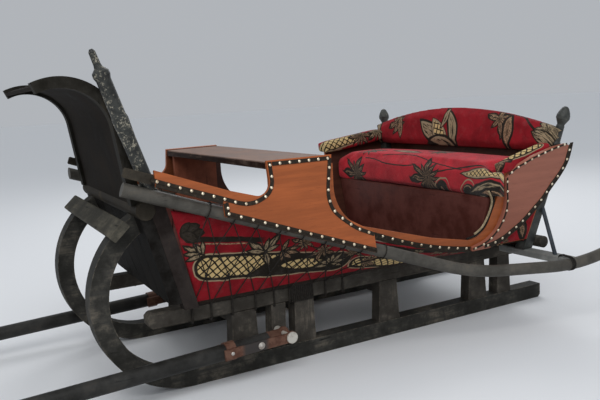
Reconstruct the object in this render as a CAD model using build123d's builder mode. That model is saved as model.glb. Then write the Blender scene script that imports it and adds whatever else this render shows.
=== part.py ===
from build123d import *
from math import asin, cos, radians, sin, sqrt, tan
import os

os.makedirs("parts", exist_ok=True)

# Frame: +X forward to the horse, +Y to the sleigh's left, +Z up, ground at z = 0.
# Lengthwise places are measured from a datum 1 m ahead of the rear finials.
# The origin lies this far ahead of that datum, halfway between shaft tips and pole ends.
origin_ahead = 878.0

# Runners
runner_y = 302.0
runner_width = 60.0
runner_height = 60.0
runner_rear = -1140.0
bend_x = 500.0
bend_radius = 322.0
tip_angle = 60.0

# Rails, uprights and beams
rail_width = 55.0
rail_height = 55.0
rail_bottom = 218.0
rail_top = rail_bottom + rail_height
rail_rear = -1060.0
rail_front = 640.0
upright_thickness = 50.0
beam_size = 46.0
beam_bottom = 160.0
floor_top = rail_top + 18.0

# Front end, which stands a little off square, turned about the left end of its log
front_skew = 2.8
log_radius = 31.0
log_x = 647.0
log_z = 623.0
log_half_length = 421.0
plank_half_length = 400.0
plank_width = 66.0
plank_thickness = 28.0
post_size = 48.0
dash_half_width = 401.0
dash_foot = (668.0, 640.0)
dash_knee = (702.0, 880.0)
dash_bend_radius = 163.0
dash_turn = 107.0

# Bench and panels
bench_rear = 13.0
bench_front = 254.0
bench_top = 738.0
bench_thickness = 24.0
bench_half_length = 466.0
ply = 12.0
flare = 0.28
wall_y_at_300 = 476.0

# Seat
apron_x = -660.0
seat_rear = -905.0
seat_top = 518.0
cushion_top = 628.0
back_lean = 0.14
rear_post_foot = (-921.0, 444.0, 271.0)
rear_post_flare = 0.265
rear_post_top_z = 768.0
member_x = -925.0
member_width = 50.0
member_height = 28.0
member_top = 271.0
member_half_length = 692.0

# Shafts
pivot_x = 178.0
pivot_y = 400.0
pivot_z = 125.0
shaft_length = 2877.0
shaft_root = 78.0
shaft_root_radius = 28.0
shaft_tip_radius = 22.0
tip_length = 120.0
pin_radius = 8.0
strap_thickness = 6.0


def side_plane(y):
    """Upright lengthwise plane at y, whose drawing axes are x from the datum and height."""
    return Plane(origin=(-origin_ahead, y, 0), x_dir=(1, 0, 0), z_dir=(0, -1, 0))


def cross_plane(x):
    """Upright crosswise plane at x, whose drawing axes are y and height."""
    return Plane(origin=(x - origin_ahead, 0, 0), x_dir=(0, 1, 0), z_dir=(1, 0, 0))


def at(x, y, z):
    """Point in the sleigh's frame from a datum place."""
    return Vector(x - origin_ahead, y, z)


def wall_y(z):
    """Outer face of the flared seat sides at height z."""
    return wall_y_at_300 + flare * (z - 300.0)


def mirrored(piece):
    """The same piece on the sleigh's other side."""
    return mirror(piece, about=Plane.XZ)


def skew_shift(y):
    """How far back the skewed front end lies at y, against its left end."""
    return (log_half_length - y) * tan(radians(front_skew))


log_end = at(log_x, log_half_length, 0)
front_turn = Location(log_end, (0, 0, -front_skew)) * Location(log_end * -1)
front_across = Axis(log_end, (sin(radians(front_skew)), cos(radians(front_skew)), 0))



def turned(plane):
    """A plane of the front end, turned with it."""
    return Plane(front_turn * plane.location)


# Front log that lies on the runner tips
with BuildPart() as front_log:
    with Locations(front_turn * Location(at(log_x, 0, log_z))):
        Cylinder(log_radius, 2 * log_half_length, rotation=(90, 0, 0))
    chamfer(front_log.edges(), 3)
front_log.part.label = "front_log"

# Runners, bent up at the front and saddled under the log


def bent_runner(side):
    """Runner on one side, bent up so far back that its tip carries the log."""
    bend = (bend_x + skew_shift(runner_y) - skew_shift(side * runner_y), bend_radius)
    with BuildPart() as runner:
        with BuildSketch(side_plane(side * runner_y)):
            with BuildLine():
                sole = Line((runner_rear + 12, 0), (bend[0], 0))
                outer = CenterArc(bend, bend_radius, -90, 90 + tip_angle)
                inner = CenterArc(bend, bend_radius - runner_height, tip_angle, -90 - tip_angle)
                Line(outer @ 1, inner @ 0)
                top = Line(inner @ 1, (runner_rear, runner_height))
                heel = Line(top @ 1, (runner_rear, 12))
                Line(heel @ 1, sole @ 0)
            make_face()
        extrude(amount=runner_width / 2, both=True)
        add(front_log.part, mode=Mode.SUBTRACT)
    return runner


runner_left = bent_runner(1)
runner_left.part.label = "runner_left"
runner_right = bent_runner(-1)
runner_right.part.label = "runner_right"

# Uprights between runner and rail; columns: centre x, width at the foot, width at the head
upright_table = (
    (302.0, 104.0, 88.0),
    (62.0, 86.0, 78.0),
    (-315.0, 98.0, 80.0),
    (-775.0, 100.0, 80.0),
    (-925.0, 78.0, 66.0),
)

with BuildPart() as uprights_left:
    for centre, foot_width, head_width in upright_table:
        with BuildSketch(side_plane(runner_y)):
            with BuildLine():
                Polyline(
                    (centre - foot_width / 2, runner_height),
                    (centre + foot_width / 2, runner_height),
                    (centre + head_width / 2, rail_bottom),
                    (centre - head_width / 2, rail_bottom),
                    close=True,
                )
            make_face()
        extrude(amount=upright_thickness / 2, both=True)
uprights_left.part.label = "uprights_left"

with BuildPart() as uprights_right:
    add(mirrored(uprights_left.part))
uprights_right.part.label = "uprights_right"

# Beams across the sleigh between facing uprights
beam_length = 2 * runner_y - upright_thickness

with BuildPart() as cross_beams:
    for centre, foot_width, head_width in upright_table[:4]:
        with Locations(at(centre, 0, beam_bottom + beam_size / 2)):
            Box(beam_size, beam_length, beam_size)
    chamfer(cross_beams.edges().filter_by(Axis.Y), 5)
cross_beams.part.label = "cross_beams"

# Blocks that carry the shaft pins, beside the second uprights
block_width = 56.0
block_rear = 139.0

with BuildPart() as pivot_block_left:
    with BuildSketch(side_plane(runner_y)):
        with BuildLine():
            Polyline(
                (block_rear + 6, runner_height),
                (block_rear + 6 + block_width, runner_height),
                (block_rear + block_width, rail_bottom),
                (block_rear, rail_bottom),
                close=True,
            )
        make_face()
    extrude(amount=upright_thickness / 2, both=True)
    with Locations(at(pivot_x, runner_y, pivot_z)):
        Cylinder(pin_radius, 2 * upright_thickness, rotation=(90, 0, 0), mode=Mode.SUBTRACT)
pivot_block_left.part.label = "pivot_block_left"

with BuildPart() as pivot_block_right:
    add(mirrored(pivot_block_left.part))
pivot_block_right.part.label = "pivot_block_right"

# Side rails on the uprights, notched for the rear member
rail_length = rail_front - rail_rear

with BuildPart() as side_rail_left:
    with Locations(at((rail_front + rail_rear) / 2, runner_y, rail_bottom + rail_height / 2)):
        Box(rail_length, rail_width, rail_height)
    chamfer(side_rail_left.edges().filter_by(Axis.Y).group_by(Axis.X)[-1], 14)
    chamfer(side_rail_left.edges().filter_by(Axis.X), 5)
    with Locations(at(member_x, runner_y, member_top - member_height / 2)):
        Box(member_width, 2 * rail_width, member_height, mode=Mode.SUBTRACT)
    with Locations(at(member_x, runner_y, member_top + rail_height / 2)):
        Box(member_width, 2 * rail_width, rail_height, mode=Mode.SUBTRACT)
side_rail_left.part.label = "side_rail_left"

with BuildPart() as side_rail_right:
    add(mirrored(side_rail_left.part))
side_rail_right.part.label = "side_rail_right"

# Plank nailed over the curled runner tips, just ahead of the log
plank_angle = 47.0
plank_sunk = 2.0
plank_reach = bend_radius + plank_thickness / 2 - plank_sunk
plank_x = bend_x + plank_reach * cos(radians(plank_angle))
plank_z = bend_radius + plank_reach * sin(radians(plank_angle))

with BuildPart() as front_plank:
    with Locations(front_turn * Location(at(plank_x, 0, plank_z), (0, 90 - plank_angle, 0))):
        Box(plank_width, 2 * plank_half_length, plank_thickness)
    chamfer(front_plank.edges().filter_by(front_across), 3)
    add(runner_left.part, mode=Mode.SUBTRACT)
    add(runner_right.part, mode=Mode.SUBTRACT)
front_plank.part.label = "front_plank"

# Front corner posts lean forward and outward from the rails to the log
front_foot = Vector(505.0, 330.0, rail_top)
front_head = Vector(613.0, 396.0, 640.0)
front_axis = front_head - front_foot
lean_forward = front_axis.X / front_axis.Z
lean_outward = front_axis.Y / front_axis.Z


def front_post(side):
    """Square front post on one side, cut off on the rail and just above the log."""
    foot = at(front_foot.X, side * front_foot.Y, front_foot.Z)
    axis = Vector(front_axis.X, side * front_axis.Y, front_axis.Z)
    with BuildPart() as post:
        with BuildSketch(turned(Plane(origin=foot - axis * 0.1, x_dir=(1, 0, -0.3), z_dir=axis))):
            Rectangle(post_size, post_size)
        extrude(amount=axis.length * 1.12)
        split(bisect_by=Plane.XY.offset(rail_top), keep=Keep.TOP)
        add(front_log.part, mode=Mode.SUBTRACT)
        split(bisect_by=Plane.XY.offset(660), keep=Keep.BOTTOM)
    return post


front_post_left = front_post(1)
front_post_left.part.label = "front_post_left"
front_post_right = front_post(-1)
front_post_right.part.label = "front_post_right"

# Floor of five lengthwise boards on the rails, cut out round the right front post
floor_rear = member_x + 32.0
floor_front = 470.0
board_count = 5
board_gap = 4.0
floor_half_width = runner_y + 14.0
board_width = (2 * floor_half_width - (board_count - 1) * board_gap) / board_count

with BuildPart() as floor_boards:
    with Locations(at((floor_front + floor_rear) / 2, 0, (floor_top + rail_top) / 2)):
        with GridLocations(1, board_width + board_gap, 1, board_count):
            Box(floor_front - floor_rear, board_width, floor_top - rail_top)
    add(front_post_right.part, mode=Mode.SUBTRACT)
floor_boards.part.label = "floor_boards"

# Bulkhead of dark boards that fan out across the front of the posts
bulkhead_bottom = 300.0
bulkhead_top = 606.0
bulkhead_depth = 38.0
bulkhead_boards = 6
groove = 4.0


def bulkhead_x(z):
    """Middle of the bulkhead's thickness at height z."""
    return front_foot.X + lean_forward * (z - rail_top) + (post_size + 4 + bulkhead_depth) / 2


def bulkhead_half_width(z):
    """Half of the bulkhead's width at height z."""
    return front_foot.Y + lean_outward * (z - rail_top) + post_size / 2 + 2


with BuildPart() as bulkhead:
    for z in (bulkhead_bottom, bulkhead_top):
        with BuildSketch(turned(Plane(origin=at(bulkhead_x(z), 0, z)))):
            Rectangle(bulkhead_depth, 2 * bulkhead_half_width(z))
    loft()
    for seam in range(1, bulkhead_boards):
        share = 2 * seam / bulkhead_boards - 1
        for z in (bulkhead_bottom, bulkhead_top):
            seam_place = at(bulkhead_x(z) + bulkhead_depth / 2, share * bulkhead_half_width(z), z)
            with BuildSketch(turned(Plane(origin=seam_place))):
                Rectangle(2 * groove, groove)
        loft(mode=Mode.SUBTRACT)
    add(front_log.part, mode=Mode.SUBTRACT)
    add(runner_left.part, mode=Mode.SUBTRACT)
    add(runner_right.part, mode=Mode.SUBTRACT)
bulkhead.part.label = "bulkhead"

# Dash: a board that rises from the log and curls forward, between two thick side ribs
rib_width = 44.0
rib_depth = 34.0
dash_board = 12.0


def dash_line():
    """Middle line of the dash from its foot on the log to its lip."""
    rise = Line(dash_foot, dash_knee)
    JernArc(dash_knee, rise % 1, dash_bend_radius, -dash_turn)


with BuildPart() as dash_panel:
    with BuildSketch(turned(side_plane(0))):
        with BuildLine():
            dash_line()
        trace(line_width=dash_board)
    extrude(amount=dash_half_width - rib_width, both=True)
    add(front_log.part, mode=Mode.SUBTRACT)
dash_panel.part.label = "dash_panel"

with BuildPart() as dash_ribs:
    for side in (1, -1):
        with BuildSketch(turned(side_plane(side * (dash_half_width - rib_width / 2)))):
            with BuildLine():
                dash_line()
            trace(line_width=rib_depth)
        extrude(amount=rib_width / 2, both=True)
    add(front_log.part, mode=Mode.SUBTRACT)
dash_ribs.part.label = "dash_ribs"

# Short bars that close the corners between the dash and the side panels
# Columns: side, middle x, middle z, length
corner_bar_table = (
    (1, 674.0, 735.0, 92.0),
    (-1, 652.0, 727.0, 48.0),
)
corner_bar_height = 30.0
corner_bar_thickness = 13.0
corner_bar_y = 456.0
corner_bar_tilt = 20.0

with BuildPart() as corner_bars:
    for side, x, z, length in corner_bar_table:
        corner_bar_middle = at(x, side * corner_bar_y, z)
        with Locations(Location(corner_bar_middle, (0, -corner_bar_tilt, 0))):
            Box(length, corner_bar_thickness, corner_bar_height)
    chamfer(corner_bars.edges().filter_by(Axis.Y), 4)
corner_bars.part.label = "corner_bars"

# Outrigger poles; columns: x, y, z of the bends, with the bend radii between them
pole_radius = 22.0
pole_points = (
    (720.0, 436.0, 698.0),
    (-120.0, 515.0, 402.0),
    (-500.0, 600.0, 268.0),
    (-950.0, 697.0, 240.5),
    (-1290.0, 772.0, 345.0),
)
pole_bends = (1600.0, 900.0, 700.0)
right_pole_front = 680.0

with BuildPart() as outrigger_left:
    with BuildLine() as pole_path:
        FilletPolyline(*(at(*point) for point in pole_points), radius=pole_bends)
    with BuildSketch(Plane(origin=pole_path.line @ 0, z_dir=pole_path.line % 0)):
        Circle(pole_radius)
    sweep()
outrigger_left.part.label = "outrigger_left"

with BuildPart() as outrigger_right:
    add(mirrored(outrigger_left.part))
    split(bisect_by=Plane(origin=at(right_pole_front, 0, 0), z_dir=(1, 0, 0)), keep=Keep.BOTTOM)
outrigger_right.part.label = "outrigger_right"

# Turned rein post that leans forward from the left pole; columns: height along the post, radius
rein_post_profile = (
    (0.0, 22.0),
    (185.0, 22.0),
    (247.0, 25.0),
    (261.0, 22.0),
    (369.0, 22.0),
    (381.0, 26.0),
    (393.0, 25.0),
    (405.0, 13.0),
    (415.0, 11.0),
    (453.0, 10.0),
    (461.0, 5.0),
)
rein_post_height = rein_post_profile[-1][0]
rein_post_foot = at(626.0, 427.0, 670.0)
rein_post_axis = Vector(144, 0, 438)
rein_post_sunk = 12.0
rein_plane = Plane(origin=rein_post_foot, x_dir=(0, 1, 0), z_dir=rein_post_axis)

with BuildPart() as rein_post:
    with BuildSketch(Plane(origin=rein_post_foot, x_dir=(0, 1, 0), z_dir=rein_plane.y_dir * -1)):
        with BuildLine():
            outline = Polyline(*((radius, height) for height, radius in rein_post_profile))
            Polyline(outline @ 1, (0, rein_post_height), (0, 0), outline @ 0)
        make_face()
    revolve(axis=Axis(rein_post_foot, rein_post_axis))
    add(outrigger_left.part, mode=Mode.SUBTRACT)
    split(bisect_by=Plane.XY.offset(rein_post_foot.Z + rein_post_sunk), keep=Keep.TOP)
rein_post.part.label = "rein_post"

# Rear member let into the rails, out to the poles, and a round log behind the posts
with BuildPart() as rear_member:
    with Locations(at(member_x, 0, member_top - member_height / 2)):
        Box(member_width, 2 * member_half_length, member_height)
    chamfer(rear_member.edges().filter_by(Axis.Y), 4)
    add(outrigger_left.part, mode=Mode.SUBTRACT)
    add(outrigger_right.part, mode=Mode.SUBTRACT)
rear_member.part.label = "rear_member"

rear_log_radius = 24.0
rear_log_length = 1010.0
rear_log_x = member_x - 52.0

with BuildPart() as rear_log:
    with Locations(at(rear_log_x, 0, rail_top + rear_log_radius)):
        Cylinder(rear_log_radius, rear_log_length, rotation=(90, 0, 0))
    chamfer(rear_log.edges(), 2.5)
rear_log.part.label = "rear_log"

# Rear corner posts with turned heads and finials, leaning back and outward
post_lean = Vector(-back_lean, rear_post_flare, 1)
rear_post_size = 46.0
rear_foot = at(*rear_post_foot)
rear_post_length = (rear_post_top_z - rear_post_foot[2]) * post_lean.length
turned_length = 68.0

# Turned head and finial; columns: height above the square part, radius
finial_profile = (
    (0.0, 21.0),
    (10.0, 17.0),
    (68.0, 16.0),
    (76.0, 14.0),
    (86.0, 19.0),
    (100.0, 26.0),
    (112.0, 25.5),
    (126.0, 21.0),
    (142.0, 12.5),
    (147.0, 6.0),
)
finial_foot = finial_profile[0][1]
finial_height = finial_profile[-1][0]

with BuildPart() as rear_post_left:
    with BuildSketch(Plane(origin=rear_foot - post_lean * 30, x_dir=(1, 0, back_lean), z_dir=post_lean)):
        Rectangle(rear_post_size, rear_post_size)
    extrude(amount=rear_post_length - turned_length + 30 * post_lean.length)
    rear_head = rear_foot + post_lean.normalized() * (rear_post_length - turned_length)
    finial_plane = Plane(origin=rear_head, x_dir=(1, 0, back_lean), z_dir=post_lean)
    with BuildSketch(Plane(origin=rear_head, x_dir=finial_plane.x_dir, z_dir=finial_plane.y_dir * -1)):
        with BuildLine():
            turning = Polyline(*((radius, height) for height, radius in finial_profile))
            Polyline(turning @ 1, (0, finial_height), (0, -5), (finial_foot, -5), turning @ 0)
        make_face()
    revolve(axis=Axis(rear_head, post_lean))
    split(bisect_by=Plane.XY.offset(rear_post_foot[2]), keep=Keep.TOP)
rear_post_left.part.label = "rear_post_left"

with BuildPart() as rear_post_right:
    add(mirrored(rear_post_left.part))
rear_post_right.part.label = "rear_post_right"

# Thin brace rods from the rear posts down to the ends of the member
brace_radius = 8.0
brace_top = at(-965.0, 508.0, 440.0)
brace_foot = at(-922.0, 608.0, member_top)
brace_axis = brace_top - brace_foot

with BuildPart() as brace_rod_left:
    with BuildSketch(Plane(origin=brace_foot - brace_axis * 0.05, z_dir=brace_axis)):
        Circle(brace_radius)
    extrude(amount=brace_axis.length * 1.05)
    split(bisect_by=Plane.XY.offset(member_top), keep=Keep.TOP)
    add(rear_post_left.part, mode=Mode.SUBTRACT)
brace_rod_left.part.label = "brace_rod_left"

with BuildPart() as brace_rod_right:
    add(mirrored(brace_rod_left.part))
brace_rod_right.part.label = "brace_rod_right"

# Lower sides that carry the carpet, from the rail out to the poles
# Columns: x, top y of the inner face, top z
lower_side_sections = (
    (560.0, 413.0, 620.0),
    (-300.0, 474.0, 376.0),
    (-620.0, 468.5, 318.0),
    (-898.0, 469.0, 318.0),
)
lower_side_foot = 318.0

lower_side_front = 479.0


def lower_side(side):
    """Lower side of the body on one side, from behind the front post to the rear."""
    with BuildPart() as board:
        for x, top_y, top_z in lower_side_sections:
            with BuildSketch(cross_plane(x)):
                with BuildLine():
                    Polyline(
                        (side * lower_side_foot, rail_top),
                        (side * (lower_side_foot + ply), rail_top),
                        (side * (top_y + ply), top_z),
                        (side * top_y, top_z),
                        close=True,
                    )
                make_face()
        loft(ruled=True)
        front_face = Plane(origin=at(lower_side_front, 0, rail_top), z_dir=(1, 0, -lean_forward))
        split(bisect_by=turned(front_face), keep=Keep.BOTTOM)
    return board


lower_side_left = lower_side(1)
lower_side_left.part.label = "lower_side_left"
lower_side_right = lower_side(-1)
lower_side_right.part.label = "lower_side_right"

# Outer side panels: front strip, bench pillar and the apron nailed over the pole
# Columns: x, z, corner radius
side_panel_outline = (
    (626.0, 697.0, 0.0),
    (420.0, 623.7, 0.0),
    (420.0, 583.7, 0.0),
    (-108.0, 396.0, 0.0),
    (-108.0, 468.0, 0.0),
    (42.0, 552.0, 84.0),
    (42.0, 605.0, 0.0),
    (16.0, 741.0, 0.0),
    (257.0, 741.0, 0.0),
    (257.0, 620.0, 42.0),
    (400.0, 662.0, 400.0),
    (626.0, 746.0, 0.0),
)
panel_x = 130.0
panel_z = 730.0
panel_rise = 0.982
panel_anchor = at(panel_x, 473.0, panel_z)
panel_normal = Vector(0.036, 0.981, 0.189)
panel_plane = Plane(origin=panel_anchor, x_dir=(1, -0.0368, 0), z_dir=panel_normal * -1)


def filleted_outline(corners):
    """Closed outline through corners given as two coordinates and a radius."""
    radii = [radius for u, v, radius in corners]
    FilletPolyline(*((u, v) for u, v, radius in corners), radius=radii, close=True)


with BuildPart() as side_panel_left:
    with BuildSketch(panel_plane):
        with BuildLine():
            filleted_outline(
                [
                    (x - panel_x, (z - panel_z) / panel_rise, radius)
                    for x, z, radius in side_panel_outline
                ]
            )
        make_face()
    extrude(amount=-ply)
side_panel_left.part.label = "side_panel_left"

with BuildPart() as side_panel_right:
    add(mirrored(side_panel_left.part))
side_panel_right.part.label = "side_panel_right"

# Inner seat sides with the door's dip cut in, upright at the bench and flared at the seat
# Columns: x, z, corner radius; the dip's front and the lower edge are the same on both sides
seat_side_lower_edge = (
    (8.0, 712.0, 0.0),
    (40.0, 712.0, 0.0),
    (42.0, 512.0, 100.0),
    (-300.0, 378.0, 300.0),
    (-620.0, 318.0, 60.0),
    (-902.0, 318.0, 0.0),
)
seat_side_left_edge = (
    (-964.0, 690.0, 0.0),
    (-690.0, 615.0, 20.0),
    (-690.0, 520.0, 150.0),
    (-652.0, 346.0, 85.0),
    (-410.0, 394.0, 300.0),
    (8.0, 512.0, 160.0),
)
seat_side_right_edge = (
    (-964.0, 706.0, 0.0),
    (-598.0, 664.0, 15.0),
    (-590.0, 356.0, 45.0),
    (-410.0, 394.0, 300.0),
    (8.0, 512.0, 160.0),
)
slab_bottom = 290.0
slab_top = 735.0
# Columns: x, outer y at the slab's bottom, outer y at its top
slab_sections = (
    (60.0, 478.0, 478.0),
    (10.0, 478.0, 478.0),
    (-700.0, wall_y(slab_bottom), wall_y(slab_top)),
    (-1000.0, wall_y(slab_bottom), wall_y(slab_top)),
)


def seat_side(side, upper_edge, post):
    """Seat side on one side, cut out of a flared slab and let round the rear post."""
    with BuildPart() as board:
        for x, bottom_y, top_y in slab_sections:
            with BuildSketch(cross_plane(x)):
                with BuildLine():
                    Polyline(
                        (side * (bottom_y - ply), slab_bottom),
                        (side * bottom_y, slab_bottom),
                        (side * top_y, slab_top),
                        (side * (top_y - ply), slab_top),
                        close=True,
                    )
                make_face()
        loft(ruled=True)
        with BuildSketch(side_plane(0)):
            with BuildLine():
                filleted_outline(seat_side_lower_edge + upper_edge)
            make_face()
        extrude(amount=-side * 2 * log_half_length, mode=Mode.INTERSECT)
        add(post.part, mode=Mode.SUBTRACT)
    return board


seat_side_left = seat_side(1, seat_side_left_edge, rear_post_left)
seat_side_left.part.label = "seat_side_left"
seat_side_right = seat_side(-1, seat_side_right_edge, rear_post_right)
seat_side_right.part.label = "seat_side_right"

# Rear wings outside the seat; columns: x, z, corner radius
wing_outline = (
    (-700.0, 595.0, 0.0),
    (-733.0, 480.0, 160.0),
    (-707.0, 382.0, 100.0),
    (-660.0, 350.0, 80.0),
    (-598.0, 332.0, 0.0),
    (-598.0, 318.0, 0.0),
    (-699.0, 318.0, 100.0),
    (-768.0, 343.0, 100.0),
    (-829.0, 384.0, 200.0),
    (-935.0, 482.0, 200.0),
    (-1027.0, 620.0, 60.0),
    (-1030.0, 706.0, 36.0),
    (-924.0, 694.0, 0.0),
    (-822.0, 668.0, 0.0),
    (-735.0, 632.0, 30.0),
)
wing_plane = Plane(origin=at(0, wall_y_at_300, 300.0), x_dir=(1, 0, 0), z_dir=(0, -1, flare))
wing_slope = sqrt(1 + flare * flare)

with BuildPart() as rear_wing_left:
    with BuildSketch(wing_plane):
        with BuildLine():
            filleted_outline([(x, (z - 300.0) * wing_slope, radius) for x, z, radius in wing_outline])
        make_face()
    extrude(amount=-ply)
    add(rear_post_left.part, mode=Mode.SUBTRACT)
rear_wing_left.part.label = "rear_wing_left"

with BuildPart() as rear_wing_right:
    add(mirrored(rear_wing_left.part))
rear_wing_right.part.label = "rear_wing_right"

# Driver's bench board and the boards under its ends
bench_middle = (bench_rear + bench_front) / 2
bench_underside = bench_top - bench_thickness

with BuildPart() as bench_board:
    with Locations(at(bench_middle, 0, bench_top - bench_thickness / 2)):
        Box(bench_front - bench_rear, 2 * bench_half_length, bench_thickness)
    chamfer(bench_board.edges().filter_by(Axis.Y), 3)
bench_board.part.label = "bench_board"

support_thickness = 22.0
support_y = 446.0
support_rear = 44.0
support_front = 236.0

with BuildPart() as bench_supports:
    for side in (1, -1):
        with BuildSketch(side_plane(side * support_y)):
            with BuildLine():
                Polyline(
                    (support_rear, 482.0),
                    (support_front, 534.0),
                    (support_front, bench_underside),
                    (support_rear, bench_underside),
                    close=True,
                )
            make_face()
        extrude(amount=support_thickness / 2, both=True)
bench_supports.part.label = "bench_supports"

# Seat: front apron and seat board
apron_thickness = 15.0
seat_board_thickness = 16.0
apron_top = seat_top - seat_board_thickness

with BuildPart() as seat_apron:
    with BuildSketch(cross_plane(apron_x)):
        with BuildLine():
            Polyline(
                (-374.0, floor_top),
                (374.0, floor_top),
                (464.0, 319.0),
                (512.0, apron_top),
                (-512.0, apron_top),
                (-464.0, 319.0),
                close=True,
            )
        make_face()
    extrude(amount=-apron_thickness)
seat_apron.part.label = "seat_apron"

with BuildPart() as seat_board:
    with BuildSketch(Plane.XY.offset(apron_top)):
        with BuildLine():
            Polyline(
                at(apron_x, 512.0, 0),
                at(apron_x, -512.0, 0),
                at(seat_rear - 24, -505.0, 0),
                at(seat_rear - 24, 505.0, 0),
                close=True,
            )
        make_face()
    extrude(amount=seat_board_thickness)
seat_board.part.label = "seat_board"

# Brown back panel between the rear posts
back_thickness = 14.0
back_bottom = 274.0
back_top = 722.0


def back_x(z):
    """Front face of the back panel at height z."""
    return seat_rear + 6 - back_lean * (z - rear_post_foot[2]) - 34


def back_half_width(z):
    """Half width of the back panel between the posts at height z."""
    return rear_post_foot[1] + rear_post_flare * (z - rear_post_foot[2]) - 26


with BuildPart() as back_panel:
    for z in (back_bottom, back_top):
        with BuildSketch(Plane(origin=at(back_x(z) - back_thickness / 2, 0, z))):
            Rectangle(back_thickness, 2 * back_half_width(z))
    loft()
back_panel.part.label = "back_panel"

# Padded seat cushion, a plain solid that overhangs the apron and, in the door's dip, the left side
cushion_front = apron_x + 28.0
cushion_rear = seat_rear - 55.0
cushion_half_width = 508.0
cushion_ear_rear = -675.0
cushion_ear_end = 585.0

with BuildPart() as seat_cushion:
    with Locations(at((cushion_front + cushion_rear) / 2, 0, (cushion_top + seat_top) / 2)):
        Box(cushion_front - cushion_rear, 2 * cushion_half_width, cushion_top - seat_top)
    with Locations(at(cushion_front, 0, (cushion_top + seat_top) / 2)):
        Box(
            cushion_front - cushion_ear_rear,
            cushion_ear_end,
            cushion_top - seat_top,
            align=(Align.MAX, Align.MIN, Align.CENTER),
        )
    add(back_panel.part, mode=Mode.SUBTRACT)
    add(rear_post_left.part, mode=Mode.SUBTRACT)
    add(rear_post_right.part, mode=Mode.SUBTRACT)
    back_face = Plane(origin=at(back_x(seat_top), 0, seat_top), z_dir=(1, 0, back_lean))
    split(bisect_by=back_face, keep=Keep.TOP)
    fillet(seat_cushion.edges().filter_by(Axis.Y).group_by(Axis.X)[-1], 30)
seat_cushion.part.label = "seat_cushion"

# Arched backrest pad in front of the back panel's top
backrest_thickness = 60.0
backrest_half_width = 592.0
backrest_bottom = 668.0
backrest_end_top = 768.0
backrest_crown = 856.0
backrest_lower_half = backrest_half_width - 24.0

with BuildPart() as backrest_pad:
    backrest_plane = Plane(origin=at(back_x(0), 0, 0), x_dir=(0, 1, 0), z_dir=(1, 0, back_lean))
    with BuildSketch(backrest_plane):
        with BuildLine():
            lower = Line((-backrest_lower_half, backrest_bottom), (backrest_lower_half, backrest_bottom))
            near_end = Line(lower @ 1, (backrest_half_width, backrest_end_top))
            arch = ThreePointArc(near_end @ 1, (0, backrest_crown), (-backrest_half_width, backrest_end_top))
            Line(arch @ 1, lower @ 0)
        make_face()
    extrude(amount=backrest_thickness)
    add(back_panel.part, mode=Mode.SUBTRACT)
    add(rear_post_left.part, mode=Mode.SUBTRACT)
    add(rear_post_right.part, mode=Mode.SUBTRACT)
    add(seat_side_left.part, mode=Mode.SUBTRACT)
    add(seat_side_right.part, mode=Mode.SUBTRACT)
backrest_pad.part.label = "backrest_pad"

# Padded armrests along the top edges of the seat sides
# Columns: side, middle x, middle y, middle z, length, width, height, tilt
armrest_table = (
    (1, -809.0, 552.0, 659.0, 262.0, 58.0, 44.0, 14.0),
    (-1, -760.0, 545.0, 697.0, 372.0, 84.0, 50.0, 7.0),
)

with BuildPart() as armrest_pads:
    for side, x, y, z, length, width, height, tilt in armrest_table:
        with Locations(Location(at(x, side * y, z), (0, tilt, 0))):
            Box(length, width, height)
    fillet(armrest_pads.edges(), 8)
    add(seat_side_left.part, mode=Mode.SUBTRACT)
    add(seat_side_right.part, mode=Mode.SUBTRACT)
    add(rear_wing_left.part, mode=Mode.SUBTRACT)
    add(rear_wing_right.part, mode=Mode.SUBTRACT)
    add(backrest_pad.part, mode=Mode.SUBTRACT)
armrest_pads.part.label = "armrest_pads"

# Shafts on pins beside the runners, lowered with their tips on the ground
shaft_droop = asin((pivot_z - shaft_tip_radius) / shaft_length)
shaft_direction = Vector(cos(shaft_droop), 0, -sin(shaft_droop))
pivot = at(pivot_x, pivot_y, pivot_z)
shaft_plane = Plane(origin=pivot, x_dir=shaft_direction, z_dir=(0, -1, 0))
taper_end = shaft_length - tip_length

with BuildPart() as shaft_left:
    with BuildSketch(shaft_plane):
        with BuildLine():
            Polyline(
                (shaft_root, 0),
                (shaft_root, shaft_root_radius),
                (taper_end, shaft_tip_radius),
                (shaft_length - 6, shaft_tip_radius),
                (shaft_length, shaft_tip_radius - 6),
                (shaft_length, 0),
                close=True,
            )
        make_face()
    revolve(axis=Axis(pivot, shaft_direction))
shaft_left.part.label = "shaft_left"

with BuildPart() as shaft_right:
    add(mirrored(shaft_left.part))
shaft_right.part.label = "shaft_right"

# Steel straps and clip that carry each shaft on its pin
strap_half_height = 17.0
strap_end = 250.0
eye_radius = 22.0
eye_clearance = 0.5
clip_middle = 222.0
clip_length = 34.0
clip_thickness = 4.0

with BuildPart() as shaft_strap_left:
    for side in (1, -1):
        strap_middle = side * (shaft_root_radius + strap_thickness / 2)
        with BuildSketch(shaft_plane.offset(strap_middle)):
            with Locations((strap_end / 2, 0)):
                Rectangle(strap_end, 2 * strap_half_height)
            Circle(eye_radius)
            Circle(pin_radius + eye_clearance, mode=Mode.SUBTRACT)
        extrude(amount=strap_thickness / 2, both=True)
    with Locations(Plane(origin=pivot + shaft_direction * clip_middle, z_dir=shaft_direction)):
        Cylinder(shaft_root_radius + clip_thickness, clip_length)
        Cylinder(shaft_root_radius - 1, clip_length, mode=Mode.SUBTRACT)
    add(shaft_left.part, mode=Mode.SUBTRACT)
shaft_strap_left.part.label = "shaft_strap_left"

with BuildPart() as shaft_strap_right:
    add(mirrored(shaft_strap_left.part))
shaft_strap_right.part.label = "shaft_strap_right"

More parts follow.
